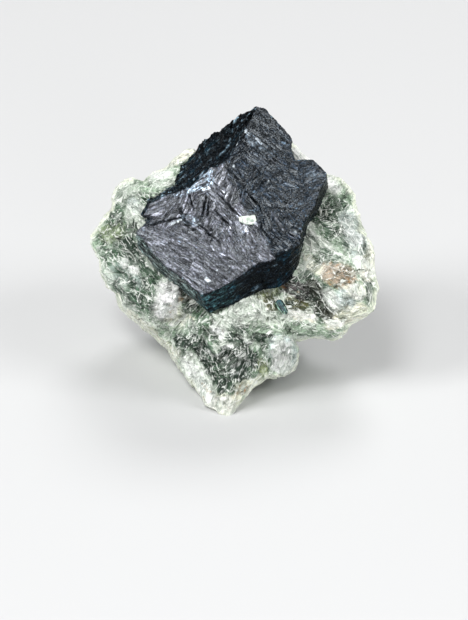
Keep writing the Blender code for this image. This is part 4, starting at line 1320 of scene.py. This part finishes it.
@dataclass
class TourmalineCrystal:
    """The large crystal: a growth face with clefts and lines, rough walls and a root in the rock."""

    centre: tuple[float, float] = (1.0, 29.5)
    face_slope: float = 0.33
    face_low: tuple[float, float] = (16.8, 10.0)
    ridge_foot: tuple[float, float] = (0.7, 34.6)
    ridge_turn: tuple[float, float] = (0.889, 0.457)
    ridge_fall: tuple[float, float] = (0.05, 0.09)
    root_depth: float = 4.0
    root_taper: float = 0.72
    root_middle: tuple[float, float] = (1.0, 28.0)
    root_end: float = -6.0
    wall_rows: int = 40
    root_rows: int = 12
    cleft_slimness: float = 0.75
    highlight_shift: float = 0.16
    stroke_height: float = 0.2
    hair_height: float = 0.045
    swell_height: float = 0.03
    cleft_share: float = 1.1
    pit_depth: float = 0.15
    step_depth: float = 0.14
    rough_height: float = 0.26
    splinter_height: float = 0.13

    def face_near(self, right: Array, up: Array) -> Array:
        """The growth face: a plane that leans back as it rises, with a low ridge across it.

        Args:
            right: places across.
            up: places up.

        Returns:
            One near value for each place.
        """
        across = self.past_ridge(right, up)
        fall = np.where(across < 0.0, -self.ridge_fall[0] * across, self.ridge_fall[1] * across)
        return self.face_low[1] - self.face_slope * (up - self.face_low[0]) - fall

    def past_ridge(self, right: Array, up: Array) -> Array:
        """How far each place lies to the right of the face's ridge, in millimetres.

        Args:
            right: places across.
            up: places up.

        Returns:
            One distance for each place, negative to the ridge's left.
        """
        foot_right, foot_up = self.ridge_foot
        return (right - foot_right) * self.ridge_turn[0] + (up - foot_up) * self.ridge_turn[1]

    def cleft_depth(self, right: Array, up: Array) -> Array:
        """How deep the clefts are at each place: a groove with a soft bottom about each cleft's line.

        Args:
            right: places across.
            up: places up.

        Returns:
            One depth for each place.
        """
        depth = np.zeros(right.shape)
        for start_right, start_up, end_right, end_up, width, deepest in CLEFTS:
            run = np.array([end_right - start_right, end_up - start_up])
            along = ((right - start_right) * run[0] + (up - start_up) * run[1]) / (run @ run)
            held = np.clip(along, 0.0, 1.0)
            apart = np.hypot(right - start_right - held * run[0], up - start_up - held * run[1])
            taper = 0.35 + 0.65 * np.sin(math.pi * np.clip(along, 0.02, 0.98))
            depth += deepest * taper * np.exp(-((apart / (width * self.cleft_slimness)) ** 2))
        return depth

    def surface(self, turn: Array, ring: Array, face_rows: int) -> tuple[Array, Array]:
        """The crystal's form before its fine relief, as the solid has it.

        Rows spread over the face, then run down the walls, and then close the root inside the rock.

        Args:
            turn: share of the way round the corners.
            ring: row number at each grid point.
            face_rows: how many rows the face has.

        Returns:
            Points, and how far each is down the wall.
        """
        corners = np.array(CRYSTAL_CORNERS + CRYSTAL_CORNERS[:1])
        at = np.arange(len(corners)) / len(CRYSTAL_CORNERS)
        edge = np.stack([np.interp(turn, at, corners[:, axis]) for axis in range(5)], axis=-1)
        centre = np.array(self.centre)
        face_share = np.clip(ring / face_rows, 0.0, 1.0)[..., None]
        wall_share = np.clip((ring - face_rows) / self.wall_rows, 0.0, 1.0)[..., None]
        root_share = np.clip((ring - face_rows - self.wall_rows) / self.root_rows, 0.0, 1.0)[..., None]
        flat = centre + (edge[..., :2] - centre) * face_share
        near = self.face_near(flat[..., 0], flat[..., 1])
        face = np.concatenate([flat, near[..., None]], axis=-1)
        wall = face * (1.0 - wall_share) + edge[..., 2:5] * wall_share
        sinking = np.clip(root_share * 2.0, 0.0, 1.0)
        closing = np.clip(root_share * 2.0 - 1.0, 0.0, 0.97)
        middle = np.array([*self.root_middle, 0.0])
        root = middle + (wall - middle) * (1.0 - (1.0 - self.root_taper) * sinking) * (1.0 - closing)
        sunk = wall[..., 2] - self.root_depth * sinking[..., 0]
        root[..., 2] = sunk * (1.0 - closing[..., 0]) + self.root_end * closing[..., 0]
        return np.where(root_share > 0.0, root, wall), wall_share[..., 0]

    def build(self) -> bpy.types.Object:
        """Builds the crystal's surface: long low strokes and clefts on its face, broken blades on its walls.

        Returns:
            The crystal.
        """
        columns, count = Fineness.CRYSTAL.value
        face_rows = count - self.wall_rows - self.root_rows
        turn = np.broadcast_to(np.arange(columns) / columns, (count, columns))
        ring = np.broadcast_to(np.arange(1, count + 1)[:, None].astype(float), turn.shape)
        points, wall = self.surface(turn, ring, face_rows)
        right, up = points[..., 0], points[..., 1]
        on_face = 1.0 - smooth_step(wall, 0.0, 0.05)
        wander = np.stack([layered_noise(points, 1.4, 231 + axis, 3) for axis in range(2)], axis=-1) * 0.22
        along = patch_directions(right, up, LINE_PATCHES, 0.9, 201)
        flat = points * np.array([1.0, 1.0, 0.0])
        strokes, stroke_shade = blade_noise(flat, along, 0.46, 7.0, 241)
        hairs, hair_shade = blade_noise(flat, along, 0.26, 8.0, 247)
        moved_right, moved_up = right + wander[..., 0], up + wander[..., 1]
        clefts = self.cleft_depth(moved_right, moved_up)
        # Painted highlight: a pale band on the upper right side of each cleft, from the clefts shifted a
        # little.
        beside = self.cleft_depth(moved_right - self.highlight_shift, moved_up - self.highlight_shift)
        painted_lip_highlight = beside * 2.6 - clefts * 6.0
        standing = 0.3 + 0.7 * zones_mask(right, up, STROKE_ZONES)
        strokes = np.where(stroke_shade > 0.45, strokes, 0.0) * standing
        pits = smooth_step(layered_noise(points, 0.6, 251, 3), 0.15, 0.5)
        pit_zone = zones_mask(right, up, PIT_ZONES)
        step = smooth_step(self.crack_side(moved_right, moved_up), -0.12, 0.12)
        height = self.stroke_height * strokes + self.hair_height * hairs
        height = height + self.swell_height * layered_noise(points, 2.5, 257, 2)
        height -= self.cleft_share * clefts
        height -= self.pit_depth * pits * pit_zone + self.step_depth * step
        height = height * on_face
        left_wall = smooth_step(-2.6 - right, 0.0, 1.5) * smooth_step(26.5 - up, 0.0, 1.5) * (1.0 - on_face)
        wall_along = np.where(left_wall[..., None] > 0.5, np.array(LEFT_WALL_GRAIN), np.array(WALL_GRAIN))
        rough, _ = blade_noise(points, wall_along, 0.85, 2.6, 263)
        splinters, splinter_shade = blade_noise(points, wall_along, 0.36, 4.0, 269)
        upper_left = smooth_step(up - 0.62 * right, 27.0, 30.5) * smooth_step(7.0 - right, 0.0, 2.0)
        broken = self.rough_height * rough + self.splinter_height * splinters
        height += broken * (1.0 - on_face) * (0.3 + 0.7 * upper_left)
        edge_share = smooth_step(ring, face_rows * 0.965, face_rows * 1.0)
        height -= 0.08 * edge_share * on_face * (1.0 + plate_noise(points, 0.8, 283))
        points = points + grid_normals(points) * height[..., None]
        # Painted shade: pits and clefts are darkened.
        pitted = np.clip(pits * pit_zone, 0.0, 1.0)
        dark = np.clip(pitted + 8.0 * clefts * on_face, 0.0, 1.0)
        # Painted pale: highlights beside the clefts, and raised strokes as wear and painted highlight.
        pale = np.clip(0.5 * painted_lip_highlight + strokes * standing * 1.3 - 0.1, 0.0, 1.0) * on_face
        tint = self.colours(points, stroke_shade, hair_shade, dark, pale, on_face)
        ragged = layered_noise(points, 0.3, 317, 2)
        grains = smooth_step(hair_shade * 0.5 + 0.6 * ragged, 0.1, 0.4)
        sparkle = zones_mask(right, up, SPARKLE_ZONES) * grains
        tint = blend_colour(tint, CrystalShade.SPARKLE.value, sparkle * on_face)
        drawn_out = layered_noise(squeezed(points, wall_along, 4.0), 0.26, 321, 2)
        glint = smooth_step(splinter_shade * 0.5 + 0.6 * drawn_out, 0.44, 0.62) * (0.12 + 0.88 * upper_left)
        glint = glint * (0.25 + smooth_step(layered_noise(points, 2.4, 319, 2), -0.1, 0.5))
        at_edge = edge_share * (1.0 - smooth_step(wall, 0.01, 0.07))
        glint = np.maximum(glint * (1.0 - on_face), smooth_step(ragged, 0.3, 0.6) * at_edge * 0.7)
        tint = blend_colour(tint, CrystalShade.GLINT.value, glint * 0.8)
        streaked = smooth_step(0.6 * splinter_shade + 0.4 * ragged, 0.1, 0.5)
        corner = smooth_step(3.4 - right, 0.0, 4.0) * smooth_step(19.0 - up, 0.0, 1.0) * (1.0 - on_face)
        tint = blend_colour(tint, CrystalShade.LOWEST_CORNER.value, corner * streaked * 0.8)
        tint = blend_colour(tint, CrystalShade.LEFT_WALL.value, left_wall * streaked * 0.8)
        grain = turned(with_poles(np.where(on_face[..., None] > 0.5, along, wall_along)))
        places = to_world(with_poles(points))
        faces = grid_faces(count, columns)
        crystal = make_piece("black_crystal", places, faces, with_poles(tint), grain, smooth=False)
        wall_finish = TourmalineFinish(
            "broken_tourmaline", roughness=0.14, line_depth=0.00012, specular=0.05, dust=0.08
        )
        crystal.data.materials.append(TourmalineFinish("black_blue_tourmaline").material())
        crystal.data.materials.append(wall_finish.material())
        row_slot = np.repeat(np.arange(count - 1) >= face_rows - 1, columns)
        slots = np.concatenate([row_slot, np.zeros(columns), np.ones(columns)]).astype(np.int32)
        crystal.data.polygons.foreach_set("material_index", slots)
        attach(crystal, BODY)
        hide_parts("tourmaline_crystal")
        return crystal

    def crack_side(self, right: Array, up: Array) -> Array:
        """How far each place lies above the crack that steps down from the lower left layer, in millimetres.

        The crack's height is read between the points of CRACK_LINE, and the step ends to its right.

        Args:
            right: places across.
            up: places up.

        Returns:
            One distance for each place, negative below the crack and to its right.
        """
        line = np.array(CRACK_LINE)
        above = up - np.interp(right, line[:, 0], line[:, 1])
        return np.minimum(np.minimum(above, 3.2 - above), (line[-1, 0] - right) * 0.4)

    def colours(
        self, points: Array, shade: Array, hair: Array, dark: Array, pale: Array, on_face: Array
    ) -> Array:
        """The crystal's colour: black-blue, a painted grey sheen on the lower left of its face, painted
        shade, pale dust.

        Args:
            points: places on the surface.
            shade: the number of the stroke at each place.
            hair: the number of the fine line at each place.
            dark: the painted shade at each place, from how deep it is in a pit or a cleft.
            pale: how far each place is painted pale, as a painted highlight beside a cleft and as wear and
                painted highlight on a raised stroke.
            on_face: 1 on the face and 0 on the walls.

        Returns:
            Red, green and blue of each place.
        """
        right, up = points[..., 0], points[..., 1]
        wander = layered_noise(points, 1.8, 301, 3)
        # Painted sheen: the face left of its ridge is painted a lighter grey.
        painted_sheen = smooth_step(-self.past_ridge(right, up) + 0.9 * wander, -0.3, 0.5) * on_face
        tint = np.broadcast_to(np.array(CrystalShade.BLACK_BLUE.value), points.shape).copy()
        tint = blend_colour(tint, CrystalShade.PAINTED_SHEEN_GREY.value, painted_sheen)
        tint = tint * (0.6 + 0.8 * shade[..., None]) * (0.5 + 1.6 * hair[..., None] ** 2)
        teal = smooth_step(layered_noise(points, 0.9, 307, 3), 0.15, 0.6)
        # Raised strokes and cleft lips painted pale, as wear and painted highlight, mostly within the painted
        # sheen.
        tint = blend_colour(tint, CrystalShade.STROKE_HIGHLIGHT_AND_WEAR.value, pale * (0.16 + 0.84 * painted_sheen))
        tint = blend_colour(tint, CrystalShade.WALL.value, 1.0 - on_face)
        tint = blend_colour(tint, CrystalShade.WALL_TEAL.value, (1.0 - on_face) * teal * 0.5)
        speck = smooth_step(layered_noise(points, 0.32, 311, 2), 0.36, 0.7)
        zone = smooth_step(layered_noise(points, 2.2, 313, 3), -0.1, 0.6)
        speck = speck * (0.15 + 0.5 * zone) * (0.05 + 0.95 * on_face)
        tint = blend_colour(tint, CrystalShade.SPECK.value, speck)
        # Painted shade: the crystal is darker towards the top.
        tint = tint * (1.0 - 0.6 * smooth_step(up, 35.0, 41.0)[..., None])
        # Pale marks: white mica specks, and painted glints.
        ragged = 0.12 * layered_noise(points, 0.25, 331, 2)
        marks = zones_mask(right + ragged, up - ragged, PALE_MARKS_AND_GLINTS) * on_face
        tint = blend_colour(tint, CrystalShade.PALE_MARK_AND_GLINT.value, marks)
        # Painted shade in the pits and clefts.
        return blend_colour(tint, CrystalShade.PIT_SHADE.value, dark * 0.9)


@dataclass
class SmallTourmaline:
    """The little crystal on the ledge below the large one."""

    middle: tuple[float, float, float] = (8.6, 15.1, 5.0)
    length: float = 2.5
    radius: float = 0.62
    turn: float = math.radians(-56.0)
    rise: float = math.radians(24.0)
    columns: int = 48
    count: int = 60

    def build(self) -> bpy.types.Object:
        """Builds a six-sided prism with blunt ends, lined along its length.

        The radius follows a hexagon: the inner radius over the cosine of the turn from the nearest
        side's middle. It narrows to both ends and is grooved by fine noise along the prism.

        Returns:
            The little crystal.
        """
        turn = np.arange(self.columns) / self.columns * 2.0 * math.pi
        along = np.linspace(-1.0, 1.0, self.count)
        turn, along = np.meshgrid(turn, along)
        side = math.pi / 3.0
        hexagon = math.cos(side / 2.0) / np.cos((turn % side) - side / 2.0)
        ends = (1.0 - np.abs(along) ** 5) ** 0.6
        radius = self.radius * hexagon * (0.85 - 0.15 * along) * np.maximum(ends, 0.02)
        drawn_out = np.stack([np.cos(turn) * 3.0, np.sin(turn) * 3.0, along * 0.4], axis=-1)
        radius = radius * (1.0 + 0.05 * smooth_noise(drawn_out, 0.28, 401))
        local = np.stack([radius * np.cos(turn), radius * np.sin(turn), along * self.length / 2.0], axis=-1)
        tip = np.array([
            math.cos(self.turn) * math.cos(self.rise),
            math.sin(self.turn) * math.cos(self.rise),
            math.sin(self.rise),
        ])
        first = np.cross(tip, np.array([0.0, 0.0, 1.0]))
        first /= np.linalg.norm(first)
        points = local @ np.stack([first, np.cross(tip, first), tip]) + np.array(self.middle)
        every = with_poles(points[:, ::-1])
        places = to_world(every)
        across = every @ np.cross(tip, np.array([0.0, 0.0, 1.0]))
        streaky = np.stack([across * 3.0, every @ tip * 0.5, np.zeros(len(every))], axis=-1)
        green = smooth_step(layered_noise(streaky, 0.5, 411, 2), -0.05, 0.3)
        blue = np.broadcast_to(np.array(CrystalShade.LITTLE_BLUE.value), places.shape)
        tint = blend_colour(blue, CrystalShade.LITTLE_GREEN.value, green * 0.85)
        grain = np.broadcast_to(turned(tip), places.shape)
        faces = grid_faces(self.count, self.columns)
        small = make_piece("little_crystal", places, faces, tint, grain, smooth=False)
        satin = TourmalineFinish("blue_green_tourmaline", roughness=0.35, specular=0.25, dust=0.3)
        small.data.materials.append(satin.material())
        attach(small, BODY)
        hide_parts("small_tourmaline")
        return small


@dataclass
class FaceFlake:
    """The white mica flake on the crystal's face."""

    crystal: TourmalineCrystal
    thickness: float = 0.22
    columns: int = 96
    count: int = 26

    def build(self) -> bpy.types.Object:
        """Builds the flake: its outline drawn in to the middle, domed a little, on the crystal's face.

        Returns:
            The flake.
        """
        share = np.arange(self.columns) / self.columns
        rim = along_outline(share[::-1], FLAKE_OUTLINE)
        middle = np.array(FLAKE_OUTLINE).mean(axis=0)
        row = np.linspace(0.03, 1.97, self.count)
        reach = np.minimum(row, 2.0 - row)[:, None, None]
        flat = middle + (rim - middle) * reach
        shape = np.concatenate([flat, np.zeros((*flat.shape[:2], 1))], axis=-1)
        frayed = [layered_noise(shape, 0.3, 421 + axis, 2) for axis in range(2)]
        flat = flat + 0.06 * np.stack(frayed, axis=-1)
        top = (row <= 1.0)[:, None]
        plates = plate_noise(shape, 0.45, 431) * 0.05
        lift = np.where(top, self.thickness * (1.0 - reach[..., 0] ** 24) + plates, -0.12)
        near = self.crystal.face_near(flat[..., 0], flat[..., 1]) + lift
        points = np.concatenate([flat, near[..., None]], axis=-1)
        every = with_poles(points)
        tint = np.broadcast_to(np.array(CrystalShade.FLAKE.value), every.shape).copy()
        patchy = smooth_step(layered_noise(every, 0.35, 441, 2) + 0.35 * (every[:, 0] - middle[0]), 0.0, 0.5)
        tint = blend_colour(tint, CrystalShade.FLAKE_GREEN.value, patchy * 0.75)
        cracks = smooth_step(np.abs(layered_noise(every, 0.7, 451, 2)), 0.12, 0.02)
        tint = blend_colour(tint, CrystalShade.FLAKE_CRACK.value, cracks * 0.6)
        grain = np.broadcast_to(turned(np.array((0.94, 0.34, 0.0))), every.shape)
        faces = grid_faces(self.count, self.columns)
        flake = make_piece("face_flake", to_world(every), faces, tint, grain, smooth=False)
        flake.data.materials.append(MicaFinish("white_mica", roughness=0.36, streak=0.2).material())
        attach(flake, BODY)
        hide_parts("mica_flake")
        return flake


@dataclass(frozen=True)
class SoftBox:
    """A square soft light: its azimuth and elevation in degrees, its size, strength and distance."""

    name: str
    azimuth: float
    elevation: float
    size: float
    power: float
    distance: float = 0.9
    middle: tuple[float, float, float] = (0.0, 0.0, 0.018)

    def hang(self) -> None:
        """Hangs the light so that it faces the specimen. Azimuth 0 is the viewer's side and 90 the right."""
        azimuth, elevation = math.radians(self.azimuth), math.radians(self.elevation)
        level = math.cos(elevation)
        away = Vector((math.sin(azimuth) * level, -math.cos(azimuth) * level, math.sin(elevation)))
        lamp = bpy.data.lights.new(self.name, "AREA")
        lamp.energy = self.power
        lamp.size = self.size
        holder = bpy.data.objects.new(self.name, lamp)
        bpy.context.scene.collection.objects.link(holder)
        holder.location = Vector(self.middle) + away * self.distance
        holder.rotation_euler = (-away).to_track_quat("-Z", "Y").to_euler()


@dataclass
class Studio:
    """The floor, the lights and the camera."""

    lens: float = 200.0
    sensor: float = 36.0
    frame_height: float = 86.8
    target: tuple[float, float, float] = (1.96, 14.7, 0.0)
    floor_size: float = 3.0
    room: tuple[float, float, float, float] = (1.0, 0.99, 0.97, 1.0)
    room_strength: float = 0.2
    lights: tuple[SoftBox, ...] = (
        SoftBox("face_sheen", -25.0, 59.0, 0.28, 4.3),
        SoftBox("left", -64.0, 42.0, 0.3, 3.9),
        SoftBox("right", 66.0, 42.0, 0.3, 3.1),
        SoftBox("back", 165.0, 52.0, 0.4, 3.0),
        SoftBox("front", 16.0, 16.0, 0.3, 0.9),
    )

    def build(self) -> None:
        """Builds the whole studio."""
        self.floor()
        self.camera()
        for light in self.lights:
            light.hang()
        world = bpy.data.worlds.new("soft_room")
        world.use_nodes = True
        background = world.node_tree.nodes["Background"]
        background.inputs["Color"].default_value = self.room
        background.inputs["Strength"].default_value = self.room_strength
        bpy.context.scene.world = world
        bpy.context.scene.view_settings.view_transform = "Standard"

    def floor(self) -> None:
        """Lays the pale floor just under the foot."""
        half = self.floor_size / 2.0
        mesh = bpy.data.meshes.new("floor")
        corners = [(-half, -half, 0.0), (half, -half, 0.0), (half, half, 0.0), (-half, half, 0.0)]
        mesh.from_pydata(corners, [], [(0, 1, 2, 3)])
        floor = bpy.data.objects.new("floor", mesh)
        bpy.context.scene.collection.objects.link(floor)
        sheet = NodeSheet("pale_floor")
        sheet.shader.inputs["Base Color"].default_value = (0.6, 0.605, 0.61, 1.0)
        sheet.shader.inputs["Roughness"].default_value = 0.6
        floor.data.materials.append(sheet.material)

    def camera(self) -> None:
        """Sets the camera on the viewer's line through the middle of the picture."""
        camera = bpy.data.objects.new("camera", bpy.data.cameras.new("camera"))
        bpy.context.scene.collection.objects.link(camera)
        camera.data.lens = self.lens
        camera.data.sensor_width = self.sensor
        camera.data.clip_end = 20.0
        distance = self.lens / self.sensor * self.frame_height
        target = Vector(to_world(np.array(self.target)))
        line = Vector(turned(np.array([0.0, 0.0, 1.0])))
        camera.location = target + line * distance * MM
        camera.rotation_euler = (-line).to_track_quat("-Z", "Y").to_euler()
        bpy.context.scene.camera = camera


def main() -> None:
    """Builds each piece and reports it."""
    logging.basicConfig(level=logging.INFO, format="%(message)s")
    Studio().build()
    rock = MatrixRock()
    crystal = TourmalineCrystal()
    pieces = [
        rock.build(),
        MicaBlades(rock).build(),
        crystal.build(),
        SmallTourmaline().build(),
        FaceFlake(crystal).build(),
    ]
    for piece in pieces:
        logging.info("%s: %d faces", piece.name, len(piece.data.polygons))


if __name__ == "__main__":
    main()
